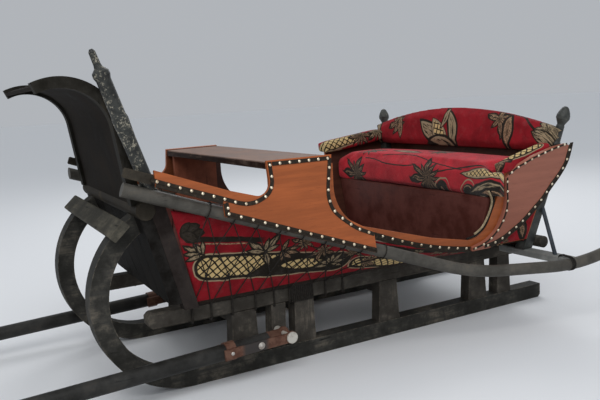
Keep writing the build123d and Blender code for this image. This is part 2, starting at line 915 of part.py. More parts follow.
# Pins through the blocks, with a collar inside each strap and a washer outside
pin_start = runner_y - upright_thickness / 2
collar_radius = 14.0
washer_radius = 20.0
washer_thickness = 5.0
strap_inner_face = pivot_y - shaft_root_radius - strap_thickness
strap_outer_face = pivot_y + shaft_root_radius + strap_thickness
block_face = runner_y + upright_thickness / 2

with BuildPart() as pivot_pin_left:
    with BuildSketch(side_plane(pin_start)):
        with Locations((pivot_x, pivot_z)):
            Circle(pin_radius)
    extrude(amount=pin_start - strap_outer_face - 1 - washer_thickness)
    with BuildSketch(side_plane(block_face)):
        with Locations((pivot_x, pivot_z)):
            Circle(collar_radius)
    extrude(amount=block_face - strap_inner_face + 3)
    with BuildSketch(side_plane(strap_outer_face + 1)):
        with Locations((pivot_x, pivot_z)):
            Circle(washer_radius)
    extrude(amount=-washer_thickness)
pivot_pin_left.part.label = "pivot_pin_left"

with BuildPart() as pivot_pin_right:
    add(mirrored(pivot_pin_left.part))
pivot_pin_right.part.label = "pivot_pin_right"

pieces = (
    runner_left,
    runner_right,
    uprights_left,
    uprights_right,
    cross_beams,
    pivot_block_left,
    pivot_block_right,
    side_rail_left,
    side_rail_right,
    floor_boards,
    front_log,
    front_plank,
    front_post_left,
    front_post_right,
    bulkhead,
    dash_panel,
    dash_ribs,
    rein_post,
    corner_bars,
    outrigger_left,
    outrigger_right,
    rear_member,
    rear_log,
    rear_post_left,
    rear_post_right,
    brace_rod_left,
    brace_rod_right,
    lower_side_left,
    lower_side_right,
    side_panel_left,
    side_panel_right,
    seat_side_left,
    seat_side_right,
    rear_wing_left,
    rear_wing_right,
    bench_board,
    bench_supports,
    seat_apron,
    seat_board,
    back_panel,
    seat_cushion,
    backrest_pad,
    armrest_pads,
    shaft_left,
    shaft_right,
    shaft_strap_left,
    shaft_strap_right,
    pivot_pin_left,
    pivot_pin_right,
)
for piece in pieces:
    export_step(piece.part, f"parts/{piece.part.label}.step")
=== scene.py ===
from math import cos, pi, radians, sin, sqrt

import bmesh
import bpy
import numpy as np
from bpy.props import FloatProperty, FloatVectorProperty, IntProperty, PointerProperty
from mathutils import Matrix, Vector


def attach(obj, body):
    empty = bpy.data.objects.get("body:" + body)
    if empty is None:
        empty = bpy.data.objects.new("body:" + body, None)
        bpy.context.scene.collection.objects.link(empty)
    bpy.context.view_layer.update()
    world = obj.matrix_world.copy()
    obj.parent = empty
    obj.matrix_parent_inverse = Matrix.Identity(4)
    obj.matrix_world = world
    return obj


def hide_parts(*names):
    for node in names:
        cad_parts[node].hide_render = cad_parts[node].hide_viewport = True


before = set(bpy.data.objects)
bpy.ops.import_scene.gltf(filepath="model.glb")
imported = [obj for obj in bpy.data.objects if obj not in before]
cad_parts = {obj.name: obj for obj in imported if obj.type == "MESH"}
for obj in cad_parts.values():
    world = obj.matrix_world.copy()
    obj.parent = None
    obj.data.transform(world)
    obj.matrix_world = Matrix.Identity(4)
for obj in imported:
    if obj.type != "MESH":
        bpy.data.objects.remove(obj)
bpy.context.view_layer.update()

bl_info = {
    "name": "Horse sleigh",
    "version": (1, 0, 0),
    "blender": (4, 5, 0),
    "location": "3D View > Sidebar > Sleigh",
    "description": "Dresses the frame of a horse drawn sleigh with carpet, trim and aged wood",
    "category": "Object",
}

# Lengthwise places are measured from a datum ahead of the seat, and this is its x in the shared frame.
DATUM = -0.878
PLY = 0.012
RAIL_TOP = 0.273
SEAT_TOP = 0.518
BACK_LEAN = 0.14
SIDES = ((1, "left"), (-1, "right"))
BLACK = (0.0, 0.0, 0.0)


def at(x, y, z):
    """Point in the shared frame from a place measured along from the datum."""
    return Vector((x + DATUM, y, z))


# Outer faces of the sleigh's sides, as y for a place and height measured from the datum


def panel_face(x, z):
    """Outer face of the bench pillar panel."""
    return 0.473 + PLY / 0.981 - 0.0367 * (x - 0.13) - 0.1927 * (z - 0.73)


def flared_wall(z):
    """Outer face of the flared seat side."""
    return 0.476 + 0.28 * (z - 0.3)


def seat_side_face(x, z):
    """Outer face of the seat side, which turns from upright at the bench to flared at the seat."""
    turn = min(max((0.01 - x) / 0.71, 0.0), 1.0)
    return 0.478 + (flared_wall(z) - 0.478) * turn


def wing_face(x, z):
    """Outer face of the rear wing."""
    return flared_wall(z) + PLY * sqrt(1 + 0.28**2)


LOWER_X = (-0.898, -0.62, -0.3, 0.56)
LOWER_TOP_Y = (0.469, 0.4685, 0.474, 0.413)
LOWER_TOP_Z = (0.318, 0.318, 0.376, 0.62)


def lower_top(x):
    """Height of the lower side's top edge."""
    return float(np.interp(x, LOWER_X, LOWER_TOP_Z))


def lower_side_face(x, z):
    """Outer face of the lower side between rail and pole."""
    top_y = float(np.interp(x, LOWER_X, LOWER_TOP_Y))
    return 0.318 + PLY + (z - RAIL_TOP) * (top_y - 0.318) / (lower_top(x) - RAIL_TOP)


# Centre line of the left pole, with three places for each of its bends
POLE_LINE = (
    (0.72, 0.436, 0.698),
    (-0.0301, 0.5065, 0.4337),
    (-0.1196, 0.5178, 0.4021),
    (-0.2083, 0.5347, 0.3709),
    (-0.3864, 0.5746, 0.3081),
    (-0.5016, 0.6001, 0.2762),
    (-0.6201, 0.6259, 0.2607),
    (-0.8288, 0.6709, 0.2479),
    (-0.9487, 0.6969, 0.2514),
    (-1.0662, 0.7226, 0.2762),
    (-1.29, 0.772, 0.345),
)


def pole_centre(x):
    """Centre of the left pole at a place along the sleigh."""
    places = [p[0] for p in reversed(POLE_LINE)]
    return Vector([float(np.interp(x, places, [p[i] for p in reversed(POLE_LINE)])) for i in range(3)])


# Sizes and colours


def length(name, description, default):
    return FloatProperty(name=name, description=description, default=default, unit="LENGTH")


def tint(name, description, default):
    return FloatVectorProperty(name=name, description=description, default=default, subtype="COLOR")


class SleighSizes(bpy.types.PropertyGroup):
    strip_width: length("Strip width", "Width of the dark edge strips", 0.013)
    strip_thickness: length("Strip thickness", "Thickness of the dark edge strips", 0.003)
    nail_diameter: length("Nail head", "Diameter of the domed nail heads", 0.0108)
    rope_diameter: length("Net rope", "Diameter of the side nets' rope", 0.0038)
    lashing_diameter: length("Lashing rope", "Diameter of the rope bound round rails", 0.007)
    pile: length("Carpet pile", "Thickness of the side carpets", 0.005)
    stuffing_steps: IntProperty(
        name="Stuffing steps",
        description="Cloth frames for which the pads are blown up",
        default=20,
        min=2,
        max=40,
    )


class SleighColours(bpy.types.PropertyGroup):
    carpet_red: tint("Carpet red", "Ground of the carpet", (0.3, 0.011, 0.018))
    carpet_cream: tint("Carpet cream", "Lattice of the carpet", (0.66, 0.48, 0.22))
    carpet_beige: tint("Carpet beige", "Outlines and pale leaves of the carpet", (0.36, 0.27, 0.165))
    carpet_leaf: tint("Carpet leaf", "Leaves of the carpet", (0.3, 0.185, 0.11))
    carpet_shade: tint("Carpet shade", "Dark grounds and outlines of the carpet", (0.018, 0.014, 0.01))
    varnish: tint("Varnished ply", "Orange brown side panels", (0.3, 0.078, 0.022))
    # Painted reflection: the rear wings' pink tint stands in for the sky reflected in their varnish.
    wing_varnish_sky_reflection: tint("Wing ply with painted reflection", "Rear wings, pink from a painted sky reflection", (0.3, 0.105, 0.066))
    black_paint: tint("Old black paint", "Runners", (0.022, 0.021, 0.018))
    bare_wood: tint("Bare wood", "Where paint has worn off", (0.2, 0.17, 0.13))


def sizes():
    return bpy.context.scene.sleigh_sizes


def colours():
    return bpy.context.scene.sleigh_colours


# Materials


def scaled(colour, factor):
    return tuple(factor * c for c in colour)


class Finish:
    """Short forms for wiring the nodes of one material."""

    def __init__(self, name):
        self.material = bpy.data.materials.new(name)
        self.material.use_nodes = True
        self.tree = self.material.node_tree
        self.shader = self.tree.nodes["Principled BSDF"]
        coordinates = self.add("ShaderNodeTexCoord")
        self.place = coordinates.outputs["Object"]
        self.facing = coordinates.outputs["Normal"]

    def add(self, kind, inputs=None, **settings):
        node = self.tree.nodes.new(kind)
        for key, value in settings.items():
            setattr(node, key, value)
        for key, value in (inputs or {}).items():
            self.feed(node.inputs[key], value)
        return node

    def feed(self, socket, value):
        if isinstance(value, bpy.types.NodeSocket):
            self.tree.links.new(value, socket)
        elif socket.type == "RGBA":
            socket.default_value = (*value[:3], 1.0)
        else:
            socket.default_value = value

    def math(self, operation, first, second=0.0, third=0.0):
        node = self.add("ShaderNodeMath", {0: first, 1: second, 2: third}, operation=operation)
        return node.outputs[0]

    def plus(self, first, second):
        return self.math("ADD", first, second)

    def minus(self, first, second):
        return self.math("SUBTRACT", first, second)

    def times(self, first, second):
        return self.math("MULTIPLY", first, second)

    def magnitude(self, value):
        return self.math("ABSOLUTE", value)

    def swing(self, value, width):
        """A value from 0 to 1 as a shift about 0, of that width in all."""
        return self.math("MULTIPLY_ADD", value, width, -width / 2)

    def axes(self, where):
        """The x, y and z of a place."""
        return self.add("ShaderNodeSeparateXYZ", {0: where}).outputs

    def vector(self, operation, first, second=(0, 0, 0)):
        node = self.add("ShaderNodeVectorMath", {0: first, 1: second}, operation=operation)
        return node.outputs["Value" if operation in ("DOT_PRODUCT", "LENGTH") else "Vector"]

    def noise(self, where, scale, detail=3.0, roughness=0.5):
        inputs = {"Vector": where, "Scale": scale, "Detail": detail, "Roughness": roughness}
        return self.add("ShaderNodeTexNoise", inputs).outputs[0]

    def ramp(self, value, low, high, start=0.0, end=1.0):
        """Smooth step of value from start to end as it goes from low to high."""
        inputs = {"Value": value, "From Min": low, "From Max": high, "To Min": start, "To Max": end}
        return self.add("ShaderNodeMapRange", inputs, interpolation_type="SMOOTHSTEP").outputs[0]

    def blend(self, share, first, second):
        node = self.add("ShaderNodeMix", data_type="RGBA")
        self.feed(node.inputs[0], share)
        self.feed(node.inputs[6], first)
        self.feed(node.inputs[7], second)
        return node.outputs[2]

    def bump(self, height, strength, distance):
        inputs = {"Height": height, "Strength": strength, "Distance": distance}
        return self.add("ShaderNodeBump", inputs).outputs["Normal"]

    def edges(self, radius):
        """1 along sharp edges and 0 elsewhere."""
        rounded = self.add("ShaderNodeBevel", {"Radius": radius}, samples=4).outputs["Normal"]
        straight = self.add("ShaderNodeNewGeometry").outputs["Normal"]
        return self.ramp(self.vector("DOT_PRODUCT", rounded, straight), 0.985, 0.86)

    def finish(self, colour, roughness, normal=None, metallic=0.0, **sockets):
        self.feed(self.shader.inputs["Base Color"], colour)
        self.feed(self.shader.inputs["Roughness"], roughness)
        self.feed(self.shader.inputs["Metallic"], metallic)
        if normal is not None:
            self.feed(self.shader.inputs["Normal"], normal)
        for key, value in sockets.items():
            self.feed(self.shader.inputs[key.replace("_", " ")], value)
        return self.material


GRAIN = {"x": (0.07, 1.0, 1.0), "y": (1.0, 0.07, 1.0), "z": (1.0, 1.0, 0.07)}


def aged_wood(name, paint, bare, axis, wear, roughness=0.7, depth=0.0012, shine=0.08, sides=None):
    """Old paint on wood, worn pale along edges and cracked along the grain."""
    f = Finish(name)
    along = f.vector("MULTIPLY", f.place, GRAIN[axis])
    grain = f.noise(along, 95.0, 6.0, 0.62)
    fibre = f.noise(along, 420.0, 4.0, 0.6)
    patches = f.noise(f.place, 9.0, 6.0, 0.68)
    spots = f.noise(f.place, 60.0, 5.0, 0.7)
    worn = f.times(f.ramp(patches, 0.62 - 0.25 * wear, 0.74), f.ramp(grain, 0.38, 0.62))
    rubbed = f.times(f.edges(0.006), f.ramp(spots, 0.42, 0.62))
    worn = f.math("MAXIMUM", worn, f.times(rubbed, min(1.0, 1.6 * wear)))
    cracks = f.ramp(grain, 0.36, 0.3)
    dark = scaled(paint, 0.35)
    light = tuple(1.7 * c + 0.012 for c in paint)
    colour = f.blend(f.ramp(patches, 0.35, 0.65), paint, light)
    colour = f.blend(f.times(f.ramp(fibre, 0.5, 0.75), 0.35), colour, light)
    # Painted shade: faces that stand upright take the darker sides colour.
    if sides is not None:
        level = f.magnitude(f.axes(f.facing)[2])
        colour = f.blend(f.ramp(level, 0.8, 0.6), colour, sides)
    colour = f.blend(f.times(worn, 0.75), colour, bare)
    colour = f.blend(f.times(cracks, 0.8), colour, dark)
    height = f.plus(grain, f.times(fibre, 0.35))
    height = f.minus(height, f.times(cracks, 0.5))
    gloss = f.ramp(patches, 0.3, 0.7, roughness - 0.12, roughness + 0.12)
    return f.finish(colour, gloss, f.bump(height, 0.55, depth), Specular_IOR_Level=shine)


def varnished_ply(name, base, inside=None, gloss=0.38, streak=1.32):
    """Thin varnished veneer with short dark pores, soft long streaks and painted shade on the side facing
    in.
    """
    f = Finish(name)
    long_way = f.vector("MULTIPLY", f.place, GRAIN["x"])
    streaks = f.noise(long_way, 55.0, 5.0, 0.55)
    pores = f.noise(long_way, 330.0, 3.0, 0.6)
    broad = f.noise(f.place, 3.0, 3.0, 0.5)
    stains = f.noise(f.place, 38.0, 6.0, 0.75)
    pale = scaled(base, streak)
    deep = scaled(base, 0.62)
    colour = f.blend(f.ramp(streaks, 0.35, 0.7), base, pale)
    colour = f.blend(f.times(f.ramp(pores, 0.58, 0.72), 0.55), colour, deep)
    colour = f.blend(f.times(f.ramp(broad, 0.45, 0.75), 0.3), colour, deep)
    colour = f.blend(f.times(f.ramp(stains, 0.66, 0.78), 0.4), colour, deep)
    colour = f.blend(f.times(f.edges(0.004), 0.6), colour, scaled(base, 1.5))
    # Painted shade: faces turned in toward the middle take the darker inside colour, streaked like the
    # grain.
    if inside is not None:
        outward = f.vector("MULTIPLY", f.facing, f.vector("SIGN", f.place))
        out = f.axes(outward)[1]
        inner = f.blend(f.ramp(streaks, 0.35, 0.7), inside, scaled(inside, 1.4))
        colour = f.blend(f.ramp(out, -0.3, -0.7), colour, inner)
    normal = f.bump(f.plus(pores, f.times(streaks, 0.6)), 0.2, 0.0006)
    rough = f.ramp(stains, 0.3, 0.75, gloss, gloss + 0.16)
    return f.finish(colour, rough, normal, Coat_Weight=0.06, Coat_Roughness=0.35, Specular_IOR_Level=0.25)


def rusty_steel(name, low, high):
    """Brown rust with darker pits, and old black paint left on it from low to high along x."""
    f = Finish(name)
    patches = f.noise(f.place, 45.0, 7.0, 0.7)
    pits = f.add("ShaderNodeTexVoronoi", {"Vector": f.place, "Scale": 260.0}).outputs["Distance"]
    colour = f.blend(f.ramp(patches, 0.35, 0.62), (0.085, 0.03, 0.016), (0.17, 0.085, 0.055))
    colour = f.blend(f.ramp(patches, 0.6, 0.72), colour, (0.045, 0.03, 0.026))
    x = f.axes(f.place)[0]
    middle = f.times(f.ramp(x, low, low + 0.02), f.ramp(x, high, high - 0.02))
    colour = f.blend(f.times(middle, 0.9), colour, (0.035, 0.035, 0.034))
    normal = f.bump(f.plus(patches, f.times(pits, 0.5)), 0.5, 0.0012)
    return f.finish(colour, f.ramp(patches, 0.4, 0.7, 0.62, 0.85), normal, 0.35)


def bright_metal(name, base, roughness, tarnish, metallic=1.0):
    """Metal with soft tarnish and fine scratches."""
    f = Finish(name)
    clouds = f.noise(f.place, 70.0, 5.0, 0.65)
    scratches = f.noise(f.vector("MULTIPLY", f.place, (1.0, 8.0, 1.0)), 260.0, 3.0, 0.5)
    colour = f.blend(f.ramp(clouds, 0.45, 0.72), base, tarnish)
    normal = f.bump(f.plus(clouds, scratches), 0.2, 0.0004)
    return f.finish(colour, f.ramp(clouds, 0.35, 0.7, roughness, roughness + 0.2), normal, metallic)


def rope_fibre(name, base):
    """Dirty twisted rope."""
    f = Finish(name)
    twist = {"Vector": f.place, "Scale": 160.0, "Distortion": 2.0}
    wave = f.add("ShaderNodeTexWave", twist, bands_direction="DIAGONAL").outputs["Fac"]
    dirt = f.noise(f.place, 110.0, 4.0, 0.6)
    colour = f.blend(f.ramp(dirt, 0.4, 0.65), scaled(base, 0.5), base)
    # Painted highlight: the raised strands of the twist are lighter.
    colour = f.blend(f.times(wave, 0.4), colour, scaled(base, 1.6))
    return f.finish(colour, 0.92, f.bump(wave, 0.7, 0.0012), Specular_IOR_Level=0.15)


def black_rubber(name):
    """Dark edging strip with fine dust in it."""
    f = Finish(name)
    dust = f.noise(f.place, 130.0, 5.0, 0.7)
    creases = f.noise(f.place, 520.0, 3.0, 0.5)
    colour = f.blend(f.ramp(dust, 0.5, 0.72), (0.02, 0.014, 0.009), (0.06, 0.045, 0.03))
    rough = f.ramp(dust, 0.4, 0.7, 0.6, 0.85)
    return f.finish(colour, rough, f.bump(creases, 0.5, 0.0006), Specular_IOR_Level=0.2)


def chipped_paint(name, share):
    """Black paint on turned wood, chipped to pale flecks."""
    f = Finish(name)
    flecks = f.noise(f.place, 95.0, 7.0, 0.78)
    chips = f.noise(f.place, 22.0, 5.0, 0.7)
    speckle = f.ramp(flecks, 0.6 - 0.07 * share, 0.66 - 0.07 * share)
    bare = f.times(speckle, f.ramp(chips, 0.52 - 0.12 * share, 0.67 - 0.12 * share))
    tone = 1.5 - 0.5 * share
    black, grey = scaled((0.016, 0.017, 0.016), tone), scaled((0.05, 0.052, 0.046), tone)
    colour = f.blend(bare, f.blend(f.ramp(chips, 0.35, 0.7), black, grey), (0.34, 0.31, 0.24))
    normal = f.bump(f.minus(flecks, bare), 0.5, 0.0012)
    return f.finish(colour, f.ramp(chips, 0.3, 0.7, 0.35, 0.6), normal, Specular_IOR_Level=0.3)


class Carpet(Finish):
    """Red carpet whose pattern is drawn on two directions given across the piece."""

    def __init__(self, name, across, along, origin, light=1.0):
        super().__init__(name)
        held = self.vector("SUBTRACT", self.place, origin)
        warp = self.noise(self.place, 30.0, 2.0, 0.5)
        u = self.plus(self.vector("DOT_PRODUCT", held, across), self.swing(warp, 0.008))
        v = self.plus(self.vector("DOT_PRODUCT", held, along), self.swing(warp, -0.008))
        self.flat = self.add("ShaderNodeCombineXYZ", {0: u, 1: v}).outputs[0]
        tint = self.noise(self.place, 14.0, 4.0, 0.6)
        # Painted light: light scales each piece's red by how much light falls on it, most on the cushion's
        # top.
        red = scaled(colours().carpet_red, light)
        self.colour = self.blend(self.ramp(tint, 0.3, 0.7), scaled(red, 0.72), scaled(red, 1.12))
        self.cream = tuple(colours().carpet_cream)
        self.shade = tuple(colours().carpet_shade)
        self.outline = tuple(colours().carpet_beige)
        streak = self.noise(self.vector("MULTIPLY", self.flat, (1.0, 3.0, 1.0)), 120.0, 3.0, 0.6)
        leaf = tuple(colours().carpet_leaf)
        self.leaf = self.blend(self.ramp(streak, 0.42, 0.58), scaled(leaf, 0.45), scaled(leaf, 1.5))

    def local(self, u, v, angle, size=1.0):
        """The pattern's plane, centred at u, v, turned, and scaled to a motif of that size."""
        node = self.add("ShaderNodeMapping", {"Vector": self.flat}, vector_type="TEXTURE")
        node.inputs["Location"].default_value = (u, v, 0.0)
        node.inputs["Rotation"].default_value = (0.0, 0.0, radians(angle))
        node.inputs["Scale"].default_value = (size, size, size)
        return node.outputs[0]

    def lay(self, mask, colour):
        self.colour = self.blend(mask, self.colour, colour)

    def pointed(self, x, y, wide):
        """How far a point lies inside a pointed leaf of half length 1 along y, 0 on its edge."""
        inset = (1 - wide * wide) / (2 * wide)
        beside = self.plus(self.magnitude(x), inset)
        reach = self.math("SQRT", self.plus(self.times(beside, beside), self.times(y, y)))
        return self.minus(inset + wide, reach)

    def strokes(self, x, y, seed):
        """Fine brush strokes along y, 0 to 1."""
        along = self.add("ShaderNodeCombineXYZ", {0: self.times(x, 9.0), 1: self.times(y, 1.3), 2: seed})
        return self.ramp(self.noise(along.outputs[0], 1.6, 2.0, 0.6), 0.4, 0.54)

    def spray(self, u, v, angle, size, leaves, wide=0.24, shadow=0.16, pale=None):
        """Pointed leaves of uneven length round a centre, stroked pale on dark, each with a dark midrib."""
        here = self.local(u, v, angle, size)
        x, y = self.axes(here)[:2]
        reach = self.vector("LENGTH", here)
        bend = self.swing(self.noise(here, 1.1, 1.0, 0.5), 1.1)
        turn = self.plus(self.math("ARCTAN2", y, x), bend)
        sector = self.math("MULTIPLY_ADD", turn, leaves / (2 * pi), 0.5)
        own = self.times(self.minus(self.math("FRACT", sector), 0.5), 2 * pi / leaves)
        leaf = {"W": self.math("FLOOR", sector)}
        chance = self.add("ShaderNodeTexWhiteNoise", leaf, noise_dimensions="1D").outputs["Value"]
        length = self.math("MULTIPLY_ADD", chance, 0.45, 0.6)
        across = self.math("DIVIDE", self.times(reach, self.math("SINE", own)), self.times(length, 0.5))
        along = self.math("DIVIDE", self.times(reach, self.math("COSINE", own)), self.times(length, 0.5))
        gap = self.pointed(across, self.minus(along, 1.0), wide)
        self.lay(self.ramp(gap, -shadow - 0.04, -shadow + 0.03), self.shade)
        tone = self.blend(self.strokes(across, along, 3.7), self.shade, pale or self.leaf)
        self.lay(self.ramp(gap, 0.0, 0.06), tone)
        rib = self.times(self.ramp(self.magnitude(across), 0.045, 0.015), self.ramp(gap, 0.03, 0.08))
        self.lay(rib, self.shade)

    def leaf_shape(self, u, v, angle, length, wide, pale=None, rim=0.0, shadow=0.07, curl=0.0):
        """One long pointed leaf, bent by curl, with a dark shadow, a rim and brush strokes."""
        x, y = self.axes(self.local(u, v, angle, length / 2))[:2]
        bent = self.plus(x, self.math("MULTIPLY_ADD", self.times(y, y), curl, -curl))
        gap = self.pointed(bent, y, wide)
        self.lay(self.ramp(gap, -shadow - 0.04, -shadow + 0.02), self.shade)
        pale = pale or self.leaf
        tone = self.blend(self.strokes(bent, y, 8.1), self.shade, pale)
        self.lay(self.ramp(gap, 0.0, 0.04), tone)
        if rim:
            self.lay(self.times(self.ramp(gap, 0.0, 0.03), self.ramp(gap, rim + 0.03, rim)), pale)

    def fan(self, u, v, leaves, wide, pale):
        """Single leaves given as angle and length, growing from one place."""
        for angle, length in leaves:
            turn, reach = radians(angle), 0.54 * length
            centre = (u - reach * sin(turn), v + reach * cos(turn))
            self.leaf_shape(*centre, angle, length, wide, pale, shadow=0.16)

    def scroll(self, u, v, angle, size):
        """A brown line that curls in on a dark round."""
        turns, wide = 1.15, 0.1
        here = self.local(u, v, angle, size)
        x, y = self.axes(here)[:2]
        reach = self.vector("LENGTH", here)
        turn = self.times(self.math("ARCTAN2", y, x), 1 / (2 * pi))
        coil = self.math("FRACT", self.minus(self.times(reach, turns), turn))
        curl = self.ramp(self.magnitude(self.minus(coil, 0.5)), wide, wide - 0.06)
        self.lay(self.ramp(reach, 1.02, 0.94), self.shade)
        self.lay(self.times(curl, self.ramp(reach, 0.9, 0.8)), self.leaf)

    def wavy_line(self, points, width, colour, start, end):
        """A thin line through points given as u and v, drawn between start and end."""
        x, y = self.axes(self.flat)[:2]
        low, high = points[0][0], points[-1][0]
        along = self.math("DIVIDE", self.minus(x, low), high - low)
        node = self.add("ShaderNodeFloatCurve", {"Value": along})
        curve = node.mapping.curves[0]
        for u, v in points[1:-1]:
            curve.points.new((u - low) / (high - low), v + 0.5)
        curve.points[0].location = (0.0, points[0][1] + 0.5)
        curve.points[-1].location = (1.0, points[-1][1] + 0.5)
        node.mapping.update()
        off = self.magnitude(self.minus(y, self.minus(node.outputs[0], 0.5)))
        shown = self.times(self.ramp(x, start - 0.004, start), self.ramp(x, end + 0.004, end))
        self.lay(self.times(shown, self.ramp(off, width / 2 + 0.0015, width / 2 - 0.0005)), colour)

    def lattice(self, where, cell):
        """1 inside the cells of a diagonal lattice and 0 on its lines."""
        edge = 0.38
        x, y = self.axes(where)[:2]
        ways = []
        for sign in (1.0, -1.0):
            slanted = self.math("MULTIPLY_ADD", y, sign, x)
            step = self.math("FRACT", self.times(slanted, 1 / cell))
            ways.append(self.ramp(self.magnitude(self.minus(step, 0.5)), edge + 0.03, edge - 0.03))
        return self.times(*ways)

    def cartouche(self, u, v, half, radius, angle, cell, cut=None, rim=0.0045, inset=0.012):
        """A dark field with round ends, a thin outline and cream lattice, which may end at a slanted cut."""
        here = self.local(u, v, angle)
        x, y = self.axes(here)[:2]
        beyond = self.math("MAXIMUM", self.minus(self.magnitude(x), half), 0.0)
        wobble = self.swing(self.noise(here, 7.0, 1.0, 0.5), 0.018)
        offset = self.add("ShaderNodeCombineXYZ", {0: beyond, 1: self.plus(y, wobble)}).outputs[0]
        gap = self.minus(self.vector("LENGTH", offset), radius)
        self.lay(self.ramp(gap, 0.004, 0.0), self.shade)
        self.lay(self.ramp(self.magnitude(gap), rim / 2 + 0.0012, rim / 2 - 0.0008), self.outline)
        field = self.ramp(gap, -inset, -inset - 0.004)
        if cut is not None:
            edge = self.math("MULTIPLY_ADD", y, 1.3, self.minus(x, cut))
            field = self.times(field, self.ramp(edge, 0.0, 0.008))
        self.lay(self.times(field, self.lattice(here, cell)), self.cream)

    def lattice_leaf(self, u, v, angle, length, wide, cell, rim=0.0):
        """A pointed field of cream lattice on dark."""
        here = self.local(u, v, angle)
        x, y = self.axes(here)[:2]
        gap = self.pointed(self.times(x, 2 / length), self.times(y, 2 / length), wide)
        self.lay(self.ramp(gap, -0.06, -0.02), self.shade)
        self.lay(self.times(self.ramp(gap, 0.02, 0.06), self.lattice(here, cell)), self.cream)
        if rim:
            self.lay(self.times(self.ramp(gap, -0.01, 0.01), self.ramp(gap, rim, rim - 0.02)), self.outline)

    def band(self, v, slope, height, start, end):
        """A dark stripe that thins out at its ends, with a thin brown line under it."""
        x, y = self.axes(self.flat)[:2]
        level = self.minus(self.minus(y, v), self.times(x, slope))
        level = self.plus(level, self.swing(self.noise(self.flat, 8.0, 2.0, 0.5), 0.012))
        run = self.times(self.ramp(x, start, start + 0.03), self.ramp(x, end, end - 0.03))
        stripe = self.ramp(self.magnitude(level), height / 2 + 0.002, height / 2 - 0.002)
        self.lay(self.times(run, stripe), self.shade)
        under = self.ramp(self.magnitude(self.plus(level, height / 2 + 0.006)), 0.003, 0.0015)
        self.lay(self.times(run, under), self.leaf)

    def woven(self, sheen=0.03):
        """Closes the material with rows of pile, dusty tops and painted shade where the tufts dip."""
        row_width, stitch_length = 0.0042, 0.0036
        x, y = self.axes(self.flat)[:2]
        rows = self.math("SINE", self.times(x, 2 * pi / row_width))
        stitches = self.math("SINE", self.times(y, 2 * pi / stitch_length))
        pile = self.times(rows, stitches)
        tuft = self.noise(self.place, 700.0, 3.0, 0.6)
        height = self.plus(self.times(pile, 0.35), tuft)
        dust = self.noise(self.place, 26.0, 5.0, 0.7)
        colour = self.blend(self.times(self.ramp(dust, 0.5, 0.75), 0.08), self.colour, (0.3, 0.26, 0.24))
        # Painted shade: the pile darkens towards black where the tufts dip.
        colour = self.blend(self.times(self.ramp(tuft, 0.5, 0.3), 0.35), colour, BLACK)
        shine = {"Sheen_Weight": sheen, "Sheen_Roughness": 0.5, "Specular_IOR_Level": 0.12}
        return self.finish(colour, 0.95, self.bump(height, 0.6, 0.0016), **shine)


# Meshes


def mesh_from(bm, name):
    """A mesh made from bm, which is freed."""
    mesh = bpy.data.meshes.new(name)
    bm.to_mesh(mesh)
    bm.free()
    return mesh


def piece(name, bm, materials, body="sleigh", smooth=True):
    """An object from a bmesh, on its body."""
    bmesh.ops.recalc_face_normals(bm, faces=bm.faces)
    return settle(bpy.data.objects.new(name, mesh_from(bm, name)), materials, body, smooth)


def settle(obj, materials, body="sleigh", smooth=True):
    """Links an object, gives it its materials and puts it on its body."""
    if obj.name not in bpy.context.scene.collection.objects:
        bpy.context.scene.collection.objects.link(obj)
    # Clearing sets each face's material index to 0, so it is left out where there is nothing to clear.
    if len(obj.data.materials):
        obj.data.materials.clear()
    for material in materials:
        obj.data.materials.append(material)
    for face in obj.data.polygons:
        face.use_smooth = smooth
    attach(obj, body)
    return obj


def line_curve(name, lines, order=3, cyclic=False):
    """A curve object with one spline for each list of points."""
    curve = bpy.data.curves.new(name, "CURVE")
    curve.dimensions = "3D"
    curve.resolution_u = 8
    for points in lines:
        spline = curve.splines.new("NURBS" if order > 2 else "POLY")
        spline.points.add(len(points) - 1)
        for place, point in zip(spline.points, points):
            place.co = (*point, 1.0)
        spline.use_cyclic_u = cyclic
        if order > 2:
            spline.order_u = order
            spline.use_endpoint_u = not cyclic
    return bpy.data.objects.new(name, curve)


def mesh_of(obj):
    """A curve object's shape as a mesh, and the object removed."""
    collection = bpy.context.scene.collection
    collection.objects.link(obj)
    if obj.data.bevel_object:
        collection.objects.link(obj.data.bevel_object)
    mesh = bpy.data.meshes.new_from_object(obj.evaluated_get(bpy.context.evaluated_depsgraph_get()))
    bpy.data.objects.remove(obj)
    return mesh


def add_mesh(bm, mesh, material_index=0):
    """Adds a mesh to bm and removes it."""
    before = len(bm.faces)
    bm.from_mesh(mesh)
    bpy.data.meshes.remove(mesh)
    bm.faces.ensure_lookup_table()
    for face in bm.faces[before:]:
        face.material_index = material_index


def walk(points, count, start, end):
    """Places spaced evenly along a line of points, with part of a space left at each end."""
    steps = [(b - a).length for a, b in zip(points, points[1:])]
    total = sum(steps)
    space = total / (count - 1 + start + end)
    places = []
    for index in range(count):
        left = space * (start + index)
        for a, b, step in zip(points, points[1:], steps):
            if left <= step or b is points[-1]:
                places.append(a.lerp(b, min(1.0, left / step)))
                break
            left -= step
    return places


def line_points(points):
    """Places along the smooth line that the control points give."""
    mesh = mesh_of(line_curve("line", [points]))
    places = [v.co.copy() for v in mesh.vertices]
    bpy.data.meshes.remove(mesh)
    return places


def tubes(bm, lines, diameter, order=2, cyclic=False, material_index=0):
    """Round tubes along lines of points."""
    obj = line_curve("tube", lines, order, cyclic)
    obj.data.bevel_depth = diameter / 2
    obj.data.bevel_resolution = 2
    obj.data.use_fill_caps = not cyclic
    add_mesh(bm, mesh_of(obj), material_index)


